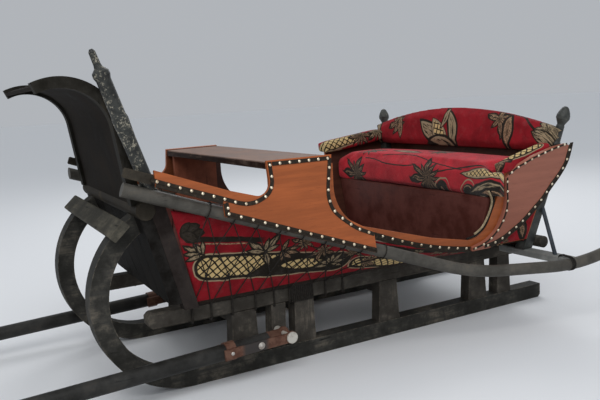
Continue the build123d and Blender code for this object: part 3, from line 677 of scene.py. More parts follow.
def ribbon(bm, points, width, thickness):
    """A flat strip with soft shoulders along points given as place and height, sunk in by a hair."""
    half, base = width / 2, -0.0003
    middle, top, inner = base + 0.5 * thickness, base + thickness, 0.75 * half
    section = ((-half, base), (half, base), (half, middle), (inner, top), (-inner, top), (-half, middle))
    profile = line_curve("profile", [[(x, y, 0.0) for x, y in section]], 2, True)
    profile.data.dimensions = "2D"
    obj = line_curve("ribbon", [[(x, z, 0.0) for x, z in points]])
    obj.data.twist_mode = "Z_UP"
    obj.data.bevel_mode = "OBJECT"
    obj.data.bevel_object = profile
    obj.data.use_fill_caps = True
    add_mesh(bm, mesh_of(obj))
    bpy.data.objects.remove(profile)


def unit_grid(columns, rows):
    """A bmesh grid from 0 to 1 both ways."""
    bm = bmesh.new()
    bmesh.ops.create_grid(bm, x_segments=columns, y_segments=rows, size=0.5)
    bmesh.ops.translate(bm, vec=(0.5, 0.5, 0.0), verts=bm.verts)
    return bm


def thicken(sheet, thickness, offset):
    """Gives a sheet its pile."""
    pile = sheet.modifiers.new("pile", "SOLIDIFY")
    pile.thickness = thickness
    pile.offset = offset


def hang_on(verts, face, side):
    """Moves a flat shape from place, height and lift onto one of the sleigh's outer faces."""
    for vert in verts:
        x, z, lift = vert.co
        vert.co = (x + DATUM, side * (face(x, z) + lift), z)


# Edge strips and nails; columns: face, strip width, nails, the parts of a space left before the first
# and after the last nail, points as place and height
TRIM = (
    (panel_face, 1.0, 14, (0.5, 0.25), (
        (0.639, 0.7208), (0.55, 0.6869), (0.4429, 0.649), (0.3959, 0.6317), (0.364, 0.619), (0.33, 0.615),
        (0.297, 0.6225), (0.264, 0.6395), (0.247, 0.6695), (0.2475, 0.7033), (0.2476, 0.738),
    )),
    (panel_face, 1.0, 6, (0.75, 0.21), (
        (0.2385, 0.7317), (0.13, 0.7315), (0.0265, 0.7314),
    )),
    (panel_face, 1.0, 9, (0.85, 0.6), (
        (0.0255, 0.732), (0.0327, 0.6989), (0.0415, 0.6631), (0.0495, 0.6276), (0.0512, 0.596),
        (0.0415, 0.56), (0.0165, 0.5335), (-0.0124, 0.5105), (-0.0399, 0.4895), (-0.081, 0.4714),
        (-0.1035, 0.4615),
    )),
    (panel_face, 0.9, 0, (0.0, 0.0), (
        (0.4168, 0.6255), (0.4168, 0.586),
    )),
    (panel_face, 0.9, 0, (0.0, 0.0), (
        (0.6265, 0.703), (0.52, 0.665), (0.424, 0.6308),
    )),
    (panel_face, 0.8, 0, (0.0, 0.0), (
        (0.415, 0.5873), (0.2, 0.5108), (-0.105, 0.4024),
    )),
    (wing_face, 1.3, 0, (0.0, 0.0), (
        (-1.0255, 0.703), (-1.027, 0.662), (-1.0225, 0.62), (-0.9985, 0.576), (-0.9765, 0.5475),
        (-0.953, 0.517), (-0.9335, 0.4835), (-0.909, 0.459), (-0.883, 0.4325), (-0.857, 0.408),
        (-0.829, 0.3845), (-0.795, 0.3665), (-0.767, 0.3475), (-0.733, 0.333), (-0.69, 0.323),
    )),
    (panel_face, 0.7, 1, (0.5, 0.5), (
        (0.4109, 0.628), (0.4109, 0.611), (0.4109, 0.5945),
    )),
    (panel_face, 1.0, 13, (0.2, 1.2), (
        (0.4185, 0.5962), (0.2, 0.5175), (-0.1045, 0.4079),
    )),
    (seat_side_face, 1.0, 11, (0.65, 0.45), (
        (-0.11, 0.461), (-0.2097, 0.4227), (-0.3007, 0.392), (-0.3471, 0.378), (-0.4331, 0.3555),
        (-0.5264, 0.3365), (-0.594, 0.3265),
    )),
    (seat_side_face, 1.1, 0, (0.0, 0.0), (
        (-0.11, 0.449), (-0.2097, 0.411), (-0.3007, 0.38), (-0.3471, 0.366), (-0.4331, 0.344),
        (-0.5264, 0.326), (-0.594, 0.3175),
    )),
    (wing_face, 0.55, 9, (0.25, 0.4), (
        (-0.6, 0.3245), (-0.635, 0.33), (-0.6589, 0.3395), (-0.6879, 0.3575), (-0.713, 0.383),
        (-0.7315, 0.4192), (-0.7395, 0.4585), (-0.7345, 0.5), (-0.721, 0.5411), (-0.7115, 0.5753),
        (-0.7075, 0.594),
    )),
    (wing_face, 0.55, 9, (0.4, 0.4), (
        (-0.712, 0.606), (-0.7515, 0.632), (-0.7887, 0.643), (-0.8218, 0.6575), (-0.8588, 0.6675),
        (-0.8873, 0.6759), (-0.9252, 0.6851), (-0.956, 0.6924), (-0.998, 0.7),
    )),
    (wing_face, 1.15, 15, (0.6, 0.4), (
        (-1.0205, 0.696), (-1.0181, 0.6611), (-1.0171, 0.6222), (-0.9928, 0.5805), (-0.9702, 0.5527),
        (-0.9484, 0.5224), (-0.9281, 0.489), (-0.9035, 0.466), (-0.8776, 0.4403), (-0.8516, 0.4147),
        (-0.8234, 0.3916), (-0.7907, 0.3734), (-0.7633, 0.3544), (-0.73, 0.341), (-0.6962, 0.331),
        (-0.6588, 0.3259),
    )),
)


def nail_head(bm, place, radius, height):
    """A domed head standing on its rim."""
    made = bmesh.ops.create_uvsphere(bm, u_segments=12, v_segments=8, radius=radius)["verts"]
    bmesh.ops.scale(bm, vec=(1, 1, height / radius), verts=made)
    geometry = list({g for v in made for g in (v, *v.link_edges, *v.link_faces)})
    floor = {"plane_co": (0, 0, 0), "plane_no": (0, 0, -1)}
    cut = bmesh.ops.bisect_plane(bm, geom=geometry, clear_outer=True, **floor)["geom_cut"]
    bmesh.ops.contextual_create(bm, geom=[g for g in cut if isinstance(g, bmesh.types.BMEdge)])
    rim = {g for g in cut if isinstance(g, bmesh.types.BMVert)}
    made = list(rim.union(v for v in made if v.is_valid))
    bmesh.ops.translate(bm, vec=place, verts=made)
    return made


class TrimStrips(bpy.types.Operator):
    """Black strips nailed along the edges of the side panels, seat sides and wings"""

    bl_idname = "sleigh.trim_strips"
    bl_label = "Edge strips"

    def execute(self, context):
        size = sizes()
        for side, word in SIDES:
            bm = bmesh.new()
            for face, share, count, margins, points in TRIM:
                start = len(bm.verts)
                ribbon(bm, points, share * size.strip_width, size.strip_thickness)
                bm.verts.ensure_lookup_table()
                hang_on(bm.verts[start:], face, side)
            bmesh.ops.remove_doubles(bm, verts=bm.verts, dist=1e-6)
            rubber = black_rubber(f"strip_rubber_{word}")
            piece(f"edge_strips_{word}", bm, [rubber], smooth=False)
        return {"FINISHED"}


class DomeNails(bpy.types.Operator):
    """Domed brass nails along the edge strips"""

    bl_idname = "sleigh.dome_nails"
    bl_label = "Dome nails"

    def execute(self, context):
        size, height, sunk = sizes(), 0.0042, 0.0006
        brass = bright_metal("nail_brass", (0.86, 0.76, 0.58), 0.25, (0.42, 0.28, 0.14))
        for side, word in SIDES:
            bm = bmesh.new()
            for face, share, count, margins, points in TRIM:
                line = line_points([(x, z, 0.0) for x, z in points])
                for place in walk(line, count, *margins) if count else ():
                    place = place + Vector((0, 0, size.strip_thickness - sunk))
                    verts = nail_head(bm, place, size.nail_diameter / 2, height)
                    hang_on(verts, face, side)
            piece(f"dome_nails_{word}", bm, [brass])
        return {"FINISHED"}


# Finishes of the frame's own solids

# Painted woods; columns: starts of the nodes' names, material, paint, bare wood, axis of the grain, wear,
# roughness, depth of the cracks, shine, painted shade of the upright sides. None is a colour of the panel.
PAINTED = (
    ("runner_", "runner_paint", None, None, "x", 0.6, 0.62, 0.0016),
    ("side_rail_", "rail_paint", (0.03, 0.026, 0.021), None, "x", 0.45),
    (("cross_beams", "rear_log"), "beam_paint", (0.025, 0.022, 0.018), None, "y", 0.4),
    (("uprights_", "pivot_block_"), "upright_paint", (0.031, 0.027, 0.022), None, "z", 0.45),
    ("front_post_", "post_paint", (0.0125, 0.0085, 0.007), (0.055, 0.04, 0.03), "z", 0.3),
    (("front_log", "corner_bars"), "log_paint", (0.021, 0.017, 0.012), (0.1, 0.078, 0.05), "y", 0.4),
    ("front_plank", "plank_grey", (0.04, 0.037, 0.029), (0.16, 0.14, 0.1), "y", 0.75, 0.8, 0.002),
    ("outrigger_", "pole_paint", (0.048, 0.044, 0.037), (0.12, 0.098, 0.07), "x", 0.5, 0.5, 0.0014, 0.15),
    (("shaft_left", "shaft_right"), "shaft_paint", (0.015, 0.0145, 0.013), (0.06, 0.05, 0.04),
     "x", 0.45, 0.5, 0.0012, 0.15),
    ("dash_panel", "dash_brown", (0.0085, 0.006, 0.004), (0.032, 0.022, 0.015),
     "z", 0.25, 0.7, 0.0012, 0.02),
    ("dash_ribs", "dash_black", (0.012, 0.0105, 0.0078), (0.06, 0.05, 0.035),
     "z", 0.35, 0.65, 0.0012, 0.05),
    ("bulkhead", "bulkhead_black", (0.007, 0.006, 0.005), (0.03, 0.023, 0.019),
     "z", 0.25, 0.7, 0.0012, 0.02),
    # The bench board's upright sides are painted shade.
    ("bench_board", "bench_mauve", (0.141, 0.085, 0.063), (0.226, 0.161, 0.126),
     "y", 0.7, 0.6, 0.0007, 0.1, (0.019, 0.007, 0.004)),
    (("seat_apron", "seat_board", "lower_side_"), "brown_board_paint", (0.068, 0.0165, 0.0115),
     (0.095, 0.026, 0.017), "y", 0.5, 0.5, 0.0005, 0.2),
    ("back_panel", "back_board_paint", (0.056, 0.021, 0.011), (0.07, 0.03, 0.016),
     "y", 0.5, 0.5, 0.0005, 0.2),
    ("bench_supports", "bench_support_paint", (0.2, 0.06, 0.03), (0.27, 0.09, 0.05),
     "z", 0.4, 0.5, 0.0005, 0.2),
    ("floor_boards", "floor_planks", (0.12, 0.09, 0.065), (0.24, 0.19, 0.14), "x", 0.8, 0.8),
    ("rear_member", "member_grey", (0.156, 0.16, 0.152), (0.29, 0.28, 0.245), "y", 0.7, 0.75, 0.0015),
    ("brace_rod_", "rod_paint", (0.035, 0.042, 0.05), (0.09, 0.08, 0.07), "z", 0.3, 0.5),
)


class FramePaint(bpy.types.Operator):
    """Aged paint, varnish and rust on the frame's own solids"""

    bl_idname = "sleigh.frame_paint"
    bl_label = "Frame finishes"

    def execute(self, context):
        colour = colours()
        varnish = tuple(colour.varnish)
        finishes = []
        for starts, name, paint, bare, *values in PAINTED:
            paint, bare = paint or tuple(colour.black_paint), bare or tuple(colour.bare_wood)
            finishes.append((starts, aged_wood(name, paint, bare, *values)))
        finishes += [
            ("rein_post", chipped_paint("chipped_black", 1.0)),
            ("rear_post_", chipped_paint("turned_black", 0.2)),
            # The last colour of each ply below is painted shade for its faces turned in.
            ("side_panel_", varnished_ply("ply_varnish", varnish, (0.16, 0.05, 0.021))),
            ("seat_side_", varnished_ply("seat_side_varnish", varnish, (0.055, 0.018, 0.011))),
            # The rear wings' colour carries a painted sky reflection.
            ("rear_wing_", varnished_ply("ply_painted_sky_reflection", tuple(colour.wing_varnish_sky_reflection), gloss=0.34, streak=1.14)),
            ("shaft_strap_", rusty_steel("strap_rust", -0.617, -0.507)),
            ("pivot_pin_", bright_metal("pin_bright", (0.56, 0.53, 0.47), 0.45, (0.4, 0.36, 0.3), 0.3)),
        ]
        for starts, material in finishes:
            for name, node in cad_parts.items():
                if name.startswith(starts):
                    for slot in node.material_slots:
                        slot.material = material
        return {"FINISHED"}


# Side carpets

# The carpet's parts and their ends. Each part has its own material, because one material with all of the
# motifs is too long for the renderer.
CARPET_PARTS = (("front", 0.33, 1.0), ("middle", -0.1, 0.33), ("rear", -1.0, -0.1))


class SideCarpets(bpy.types.Operator):
    """Patterned carpet stretched over the lower sides"""

    bl_idname = "sleigh.side_carpets"
    bl_label = "Side carpets"

    def execute(self, context):
        rear, lean, gap = -0.896, 0.294, 0.002
        for side, word, front_foot in ((1, "left", 0.471), (-1, "right", 0.439)):
            carpets = [self.pattern(side, f"side_carpet_{word}_{part}", low, high)
                       for part, low, high in CARPET_PARTS]
            bm = unit_grid(170, 36)
            for vert in bm.verts:
                s, t = vert.co.xy
                x = rear + s * (front_foot + lean * t * 0.3 - rear)
                top = lower_top(x) - 2 * gap
                z = RAIL_TOP + gap + t * (top - RAIL_TOP - gap)
                x = rear + s * (front_foot + lean * (z - RAIL_TOP) - rear)
                ripple = 0.0009 * sin(21 * x + 3 * z) + 0.0006 * sin(47 * x - 31 * z)
                vert.co = (x, z, 0.0012 + ripple * 4 * t * (1 - t))
            hang_on(bm.verts, lower_side_face, side)
            for face in bm.faces:
                place = face.calc_center_median().x - DATUM
                face.material_index = sum(place <= low for part, low, high in CARPET_PARTS[:2])
            area = sum(face.calc_area() for face in bm.faces)
            sheet = piece(f"side_carpet_{word}", bm, carpets)
            thicken(sheet, sizes().pile, -side)
        return {"FINISHED"}

    def pattern(self, side, name, low, high):
        """The carpet's material for the length from low to high, with the motifs that reach into it."""
        # The last number is painted light: the upright side carpets get 0.85 of the red.
        carpet = Carpet(name, (1, 0, 0), (0, 0.45 * side, 0.9), at(0.0, 0.36 * side, 0.273), 0.85)
        pale, dark = carpet.outline, scaled(carpet.shade, 2.2)
        motifs = [
            (0.24, 0.52, carpet.band, (0.195, 0.08, 0.021, 0.245, 0.51)),
            (-0.12, 0.5, carpet.cartouche, (0.2, 0.108, 0.245, 0.05, 5.0, 0.03, 0.045)),
            (-0.02, 0.2, carpet.lattice_leaf, (0.09, 0.095, 92, 0.205, 0.25, 0.03)),
            (-0.46, -0.08, carpet.cartouche, (-0.27, 0.045, 0.14, 0.034, 9.0, 0.03)),
        ]
        for u, v, angle, size, leaves, wide in (
            (0.11, 0.19, 20, 0.055, 8, 0.22),
            (0.03, 0.15, 200, 0.055, 8, 0.22),
            (-0.09, 0.135, 80, 0.06, 8, 0.22),
            (-0.17, 0.07, 140, 0.06, 9, 0.2),
            (-0.4, 0.02, 80, 0.05, 8, 0.22),
            (-0.52, 0.03, 10, 0.045, 8, 0.22),
        ):
            reach = 1.15 * size
            motifs.append((u - reach, u + reach, carpet.spray, (u, v, angle, size, leaves, wide, 0.12)))
        for u, v, wide, colour, leaves in (
            (0.54, 0.262, 0.5, dark, ((95, 0.07), (70, 0.06), (120, 0.06), (40, 0.04))),
            (0.462, 0.178, 0.24, pale, ((-62, 0.07), (-85, 0.062), (-38, 0.05), (-108, 0.055), (-8, 0.045))),
            (0.248, 0.165, 0.26, pale,
             ((32, 0.075), (8, 0.05), (-55, 0.07), (-82, 0.06), (62, 0.05), (158, 0.062))),
            (0.187, 0.158, 0.26, None, ((20, 0.05), (75, 0.06), (98, 0.062), (128, 0.05), (170, 0.04))),
            (-0.02, 0.08, 0.24, pale,
             ((-100, 0.06), (-72, 0.055), (-40, 0.05), (-5, 0.05), (30, 0.055), (75, 0.06), (110, 0.05))),
        ):
            motifs.append((u - 0.085, u + 0.085, carpet.fan, (u, v, leaves, wide, colour)))
        stem = ((-0.9, 0.078), (-0.62, 0.078), (-0.4, 0.113), (-0.3, 0.13), (-0.1, 0.175))
        motifs.append((-0.9, -0.1, carpet.wavy_line, (stem, 0.034, carpet.shade, -0.89, -0.12)))
        buds = ((-0.24, 0.125), (-0.36, 0.11), (-0.47, 0.09), (-0.57, 0.072), (-0.66, 0.07), (-0.76, 0.07))
        for u, v in buds:
            motifs.append((u - 0.05, u + 0.05, carpet.spray, (u, v, 300 * u, 0.04, 7, 0.24, 0.12, pale)))
        for first, last, draw, values in motifs:
            if first < high and last > low:
                draw(*values)
        height = carpet.axes(carpet.place)[2]
        carpet.lay(carpet.ramp(height, 0.288, 0.287), (0.022, 0.014, 0.01))
        return carpet.woven()


class RearPatches(bpy.types.Operator):
    """Carpet nailed over the seat sides behind and below the wings"""

    bl_idname = "sleigh.rear_patches"
    bl_label = "Rear patches"

    def execute(self, context):
        edge = (
            (-0.703, 0.3205), (-0.72, 0.3215), (-0.74, 0.3295), (-0.768, 0.3425), (-0.79, 0.355),
            (-0.81, 0.3685), (-0.829, 0.383), (-0.85, 0.4005), (-0.87, 0.419), (-0.889, 0.4365),
            (-0.93, 0.474),
        )
        front, foot = -0.703, 0.3195
        places, heights = [p[0] for p in reversed(edge)], [p[1] for p in reversed(edge)]
        for side, word in SIDES:
            centre = at(0.0, 0.49 * side, 0.35)
            carpet = Carpet(f"rear_patch_{word}", (1, 0, 0), (0, 0.3 * side, 0.95), centre)
            carpet.spray(-0.735, -0.02, 40, 0.045, 8, pale=carpet.outline)
            carpet.spray(-0.78, -0.03, 100, 0.035, 7)
            carpet.leaf_shape(-0.86, 0.02, 340, 0.09, 0.3, shadow=0.3)
            bm = unit_grid(60, 26)
            for vert in bm.verts:
                along, share = vert.co.xy
                x = front - 0.195 * along
                # The rear end leans with the back panel: place and height settle in a few turns.
                for turn in range(3):
                    z = foot + share * (float(np.interp(x, places, heights)) - foot)
                    x = front - along * (0.1895 + BACK_LEAN * (z - 0.271))
                vert.co = (x, z, 0.0008 + 0.0012 * sin(43 * x + 30 * z) ** 2 * share * (1 - share))
            hang_on(bm.verts, seat_side_face, side)
            area = sum(face.calc_area() for face in bm.faces)
            sheet = piece(f"rear_patch_{word}", bm, [carpet.woven()])
            thicken(sheet, 0.004, side)
        return {"FINISHED"}


# Rope nets and lashings


# Where the ropes pass the rail, as y beside it and z under it
ROPE_SIDE = 0.3335
ROPE_UNDER = 0.2145


def net_point(x, share):
    """Place on the net, from the rail's outer edge at 0 to the pole at 1."""
    low = at(x, ROPE_SIDE, RAIL_TOP - 0.006)
    pole = pole_centre(x)
    high = Vector((x + DATUM, pole.y - 0.004, pole.z - 0.022))
    place = low.lerp(high, share)
    clear = lower_side_face(x, max(place.z, RAIL_TOP)) + 0.011
    place.y = max(place.y, clear if place.z > RAIL_TOP else place.y)
    return place


def mirrored(points, side):
    return [(p[0], side * p[1], p[2]) for p in points]


def pole_ring(x):
    """A closed turn of rope round the left pole."""
    radius, places = 0.0252, 10
    along = (pole_centre(x + 0.02) - pole_centre(x - 0.02)).normalized()
    outward = Vector((0, 0, 1)).cross(along).normalized()
    upward = along.cross(outward)
    centre = pole_centre(x) + Vector((DATUM, 0, 0))
    reach = radius / cos(pi / places)
    angles = [2 * pi * i / places for i in range(places)]
    return [centre + outward * reach * cos(a) + upward * reach * sin(a) for a in angles]


class RopeNets(bpy.types.Operator):
    """Dark rope nets laced between the poles and the rails, and lashings round them"""

    bl_idname = "sleigh.rope_nets"
    bl_label = "Rope nets"

    def execute(self, context):
        size = sizes()
        rope = rope_fibre("net_rope", (0.03, 0.026, 0.022))
        pick = np.random.default_rng(7)
        columns = np.linspace(0.49, -0.11, 9)
        shares = (0.0, 0.36, 0.68, 1.0)
        knots = []
        for row, share in enumerate(shares):
            shift = -0.0375 * (row % 2)
            knots.append([net_point(float(x + shift + pick.uniform(-0.012, 0.012)), share) for x in columns])
        lines = []
        for row in range(3):
            for index in range(len(columns)):
                beyond = index + row % 2
                for other in (beyond, beyond - 1):
                    if 0 <= other < len(columns):
                        lines.append([knots[row][index], knots[row + 1][other]])
        wraps = []
        for x in [knot.x for knot in knots[0]]:
            wraps.append([(x, ROPE_SIDE, 0.2685), (x, ROPE_SIDE, 0.217), (x, 0.3305, ROPE_UNDER),
                          (x, 0.299, ROPE_UNDER)])
        for turn in range(11):
            x = 0.115 - 0.0078 * turn + DATUM
            rear = x - 0.002
            wraps.append([(x, ROPE_SIDE, 0.274), (rear, 0.3338, 0.217), (rear, 0.3305, ROPE_UNDER),
                          (rear - 0.001, 0.285, ROPE_UNDER)])
        loops = [pole_ring(knot.x - DATUM) for knot in knots[3]]
        for side, word in SIDES:
            bm = bmesh.new()
            tubes(bm, [mirrored(line, side) for line in lines], size.rope_diameter)
            for row in (1, 2):
                for knot in knots[row]:
                    made = bmesh.ops.create_icosphere(bm, subdivisions=2, radius=0.0045)["verts"]
                    bmesh.ops.translate(bm, vec=mirrored([knot], side)[0], verts=made)
            tubes(bm, [mirrored(line, side) for line in wraps], size.lashing_diameter)
            tubes(bm, [mirrored(line, side) for line in loops], size.rope_diameter, 3, True)
            piece(f"rope_net_{word}", bm, [rope])
        return {"FINISHED"}


# Padded pieces


def merged_copy(node):
    """A bmesh of one CAD node with its loose triangles joined."""
    bm = bmesh.new()
    bm.from_mesh(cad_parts[node].data)
    bmesh.ops.remove_doubles(bm, verts=bm.verts, dist=1e-5)
    return bm


def even_out(bm):
    bmesh.ops.smooth_vert(bm, verts=bm.verts, factor=0.5, use_axis_x=True, use_axis_y=True, use_axis_z=True)


def stuffed(name, node, voxel, shrink, cap, kept):
    """A CAD solid as a pad blown up by cloth simulation, keeping a share of the swelling along each axis."""
    obj = bpy.data.objects.new(name, mesh_from(merged_copy(node), name))
    bpy.context.scene.collection.objects.link(obj)
    remesh = obj.modifiers.new("even", "REMESH")
    remesh.mode = "VOXEL"
    remesh.voxel_size = voxel
    bake(obj)
    bm = bmesh.new()
    bm.from_mesh(obj.data)
    for step in range(3):
        even_out(bm)
    bm.normal_update()
    for vert in bm.verts:
        vert.co -= vert.normal * shrink
    bm.to_mesh(obj.data)
    bm.free()
    start = positions(obj.data)
    cloth = obj.modifiers.new("stuffing", "CLOTH")
    settings = cloth.settings
    settings.quality = 5
    settings.use_pressure = True
    settings.uniform_pressure_force = 5.0
    settings.tension_stiffness = settings.compression_stiffness = 8.0
    settings.effector_weights.gravity = 0.0
    settings.mass = 0.3
    scene = bpy.context.scene
    for step in range(1, sizes().stuffing_steps + 1):
        scene.frame_set(step)
    swollen = obj.evaluated_get(bpy.context.evaluated_depsgraph_get()).to_mesh()
    moved = positions(swollen) - start
    far = np.linalg.norm(moved, axis=1, keepdims=True)
    moved *= np.minimum(1.0, cap / np.maximum(far, 1e-9)) * np.array(kept)
    obj.modifiers.remove(cloth)
    set_positions(obj.data, start + moved)
    scene.frame_set(1)
    return obj


def positions(mesh):
    places = np.empty(3 * len(mesh.vertices), np.float32)
    mesh.vertices.foreach_get("co", places)
    return places.reshape(-1, 3).astype(float)


def set_positions(mesh, places):
    mesh.vertices.foreach_set("co", places.ravel().astype(np.float32))


def portion(values, start, length):
    """How far values have gone from start over a length, from 0 to 1."""
    return np.clip((values - start) / length, 0, 1)


def bake(obj):
    """Applies an object's modifiers."""
    graph = bpy.context.evaluated_depsgraph_get()
    mesh = bpy.data.meshes.new_from_object(obj.evaluated_get(graph))
    obj.modifiers.clear()
    obj.data = mesh


def smoothed(obj):
    """Evens out a padded piece and gives it one subdivision."""
    bm = bmesh.new()
    bm.from_mesh(obj.data)
    even_out(bm)
    bm.to_mesh(obj.data)
    bm.free()
    fine = obj.modifiers.new("fine", "SUBSURF")
    fine.levels = fine.render_levels = 1


def back_face(z):
    """Front face of the back panel, as x in the shared frame."""
    return -0.933 - BACK_LEAN * (z - 0.271) + DATUM


class SeatCushion(bpy.types.Operator):
    """Domed seat cushion covered in carpet, whose front swells over the apron"""

    bl_idname = "sleigh.seat_cushion"
    bl_label = "Seat cushion"

    def execute(self, context):
        top_front = at(-0.632, 0.0, 0.63)
        # The last number is painted light: the cushion's top, lit by the sky, gets 1.65 times the red.
        carpet = Carpet("cushion_carpet", (0, 1, 0), (-1, 0, 1), top_front, 1.65)
        pale = carpet.outline
        for points, width, start, end in (
            (((-0.6, 0.0), (-0.3, 0.05), (-0.12, 0.02), (0.1, 0.03), (0.3, 0.06)), 0.007, -0.32, 0.05),
            (((-0.5, 0.1), (-0.25, 0.08), (0.0, 0.1), (0.2, 0.05), (0.4, 0.02)), 0.006, -0.2, 0.36),
            (((0.1, -0.02), (0.25, 0.01), (0.35, 0.035), (0.5, 0.05), (0.6, 0.04)), 0.007, 0.19, 0.56),
        ):
            carpet.wavy_line(points, width, carpet.shade, start, end)
        carpet.leaf_shape(-0.1, 0.16, 85, 0.22, 0.2, pale, shadow=0.04)
        carpet.spray(-0.37, -0.045, 80, 0.1, 11, 0.17)
        carpet.spray(-0.33, 0.13, 20, 0.09, 9, 0.18)
        carpet.spray(0.155, -0.025, 95, 0.11, 12, 0.16)
        carpet.spray(0.1, 0.2, 60, 0.09, 9, 0.18)
        carpet.scroll(0.245, -0.066, 200, 0.037)
        carpet.scroll(0.404, -0.072, 330, 0.04)
        round_scrolls = (
            (0.19, -0.07), (0.215, -0.035), (0.25, -0.022), (0.282, -0.032), (0.3, -0.08), (0.33, -0.1),
            (0.355, -0.06), (0.385, -0.024), (0.42, -0.02), (0.445, -0.05), (0.46, -0.09),
        )
        carpet.wavy_line(round_scrolls, 0.0055, pale, 0.2, 0.45)
        carpet.lattice_leaf(0.49, 0.012, 93, 0.25, 0.19, 0.024, 0.06)
        carpet.leaf_shape(0.5, -0.045, 103, 0.19, 0.12, pale, shadow=0.1)
        carpet.leaf_shape(0.53, -0.068, 100, 0.16, 0.14, shadow=0.1)
        carpet.leaf_shape(0.5, -0.098, 80, 0.15, 0.24, pale, 0.06, 0.1)
        obj = stuffed("seat_cushion_soft", "seat_cushion", 0.008, 0.008, 0.03, (0.9, 0.25, 0.9))
        places = positions(obj.data)
        x, y, z = places.T
        # The top is domed up, the nose is drawn down over the apron, and the rest lies on the seat board.
        high = portion(z, SEAT_TOP, 0.11)
        across = np.clip(1 - (y / 0.51) ** 2, 0, 1)
        z += 0.016 * across**0.7 * np.sin(pi * np.clip(portion(x, -1.83, 0.32), 0.08, 1)) * high
        z -= 0.018 * portion(x, at(-0.72, 0, 0).x, 0.09) ** 2 * (1 - high)
        rest = SEAT_TOP + 0.0008
        z[(z < rest) & (x < at(-0.657, 0, 0).x)] = rest
        y -= 0.018 * portion(-y, 0.42, 0.09)
        nose = (x > at(-0.6585, 0, 0).x) & (z <= SEAT_TOP)
        x[nose] = np.maximum(x[nose], at(-0.6575, 0, 0).x)
        x[:] = np.maximum(x, back_face(z) + 0.001)
        set_positions(obj.data, places)
        smoothed(obj)
        settle(obj, [carpet.woven(0.14)])
        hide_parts("seat_cushion")
        return {"FINISHED"}


class Backrest(bpy.types.Operator):
    """Arched backrest pad covered in carpet"""

    bl_idname = "sleigh.backrest"
    bl_label = "Backrest"

    def execute(self, context):
        carpet = Carpet("backrest_carpet", (0, 1, 0), (-0.9, 0, 0.9), at(-0.95, 0.0, 0.7))
        pale = carpet.outline
        carpet.spray(-0.38, 0.06, 100, 0.075, 7, 0.34)
        carpet.leaf_shape(-0.36, 0.035, 5, 0.11, 0.3, rim=0.1)
        carpet.leaf_shape(-0.55, 0.02, 10, 0.16, 0.24, pale, shadow=0.12)
        carpet.leaf_shape(0.0, 0.03, 12, 0.19, 0.27, pale, 0.1, 0.1, 0.25)
        carpet.leaf_shape(-0.12, 0.04, 75, 0.17, 0.42, pale, 0.1, 0.1, -0.3)
        carpet.lattice_leaf(-0.06, -0.002, 35, 0.19, 0.42, 0.034, 0.1)
        carpet.leaf_shape(-0.035, -0.045, 78, 0.2, 0.16, pale, 0.06, 0.1, 0.2)
        carpet.leaf_shape(-0.035, 0.085, 335, 0.11, 0.22, pale, 0.1, 0.08, 0.2)
        carpet.spray(0.31, 0.075, 160, 0.085, 6, 0.36)
        carpet.leaf_shape(0.36, 0.03, 355, 0.13, 0.34, carpet.leaf, 0.14, 0.16)
        stalk = ((0.3, 0.1), (0.38, 0.115), (0.43, 0.1), (0.47, 0.06), (0.52, 0.02))
        carpet.wavy_line(stalk, 0.014, carpet.shade, 0.32, 0.5)
        carpet.spray(0.56, 0.045, 120, 0.09, 5, 0.5, pale=pale)
        carpet.leaf_shape(0.555, 0.0, 70, 0.14, 0.4, pale, shadow=0.05)
        obj = stuffed("backrest_soft", "backrest_pad", 0.007, 0.004, 0.02, (0.9, 0.25, 0.12))
        places = positions(obj.data)
        x, z = places[:, 0], places[:, 2]
        # Below the back panel's top the pad stays ahead of the panel.
        low = z < 0.724
        x[low] = np.maximum(x[low], back_face(z[low]) + 0.0008)
        set_positions(obj.data, places)
        smoothed(obj)
        settle(obj, [carpet.woven()])
        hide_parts("backrest_pad")
        return {"FINISHED"}


class Armrests(bpy.types.Operator):
    """Padded armrests along the tops of the seat sides"""

    bl_idname = "sleigh.armrests"
    bl_label = "Armrests"

    def execute(self, context):
        # The last number is painted light: the armrests get 1.1 times the red.
        carpet = Carpet("armrest_carpet", (1, 0, -0.2), (-0.16, 1, -0.9), at(-0.78, 0.0, 0.68), 1.1)
        pale = carpet.outline
        carpet.cartouche(0.15, -0.56, 0.13, 0.038, 0.0, 0.034, inset=0.004)
        carpet.spray(-0.02, -0.55, 170, 0.08, 10, 0.2)
        carpet.spray(-0.12, -0.55, 30, 0.07, 9, 0.22, pale=pale)
        carpet.cartouche(-0.02, 0.552, 0.085, 0.028, 0.0, 0.032, rim=0.005, inset=0.007)
        carpet.spray(0.105, 0.56, 20, 0.05, 5, 0.5, 0.5)
        obj = stuffed("armrests_soft", "armrest_pads", 0.005, 0.003, 0.009, (0.4, 1.0, 0.8))
        smoothed(obj)
        settle(obj, [carpet.woven()])
        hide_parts("armrest_pads")
        return {"FINISHED"}


# Small fittings


# Piping at the rear of the door's dips, as place and height: the black line, then the cream one
DIP_PIPING = {
    "left": (
        (
            (-0.655, 0.55), (-0.676, 0.524), (-0.682, 0.495), (-0.677, 0.46), (-0.668, 0.43),
            (-0.655, 0.402), (-0.634, 0.382), (-0.607, 0.3695), (-0.575, 0.366),
        ),
        (
            (-0.646, 0.546), (-0.667, 0.52), (-0.673, 0.494), (-0.6685, 0.462), (-0.66, 0.4335),
            (-0.648, 0.4075), (-0.63, 0.39), (-0.611, 0.38),
        ),
    ),
    "right": (
        (
            (-0.594, 0.62), (-0.591, 0.52), (-0.587, 0.44), (-0.581, 0.405), (-0.56, 0.383),
            (-0.53, 0.378),
        ),
        (
            (-0.586, 0.618), (-0.583, 0.52), (-0.579, 0.444), (-0.574, 0.413), (-0.558, 0.393),
            (-0.54, 0.388),
        ),
    ),
}


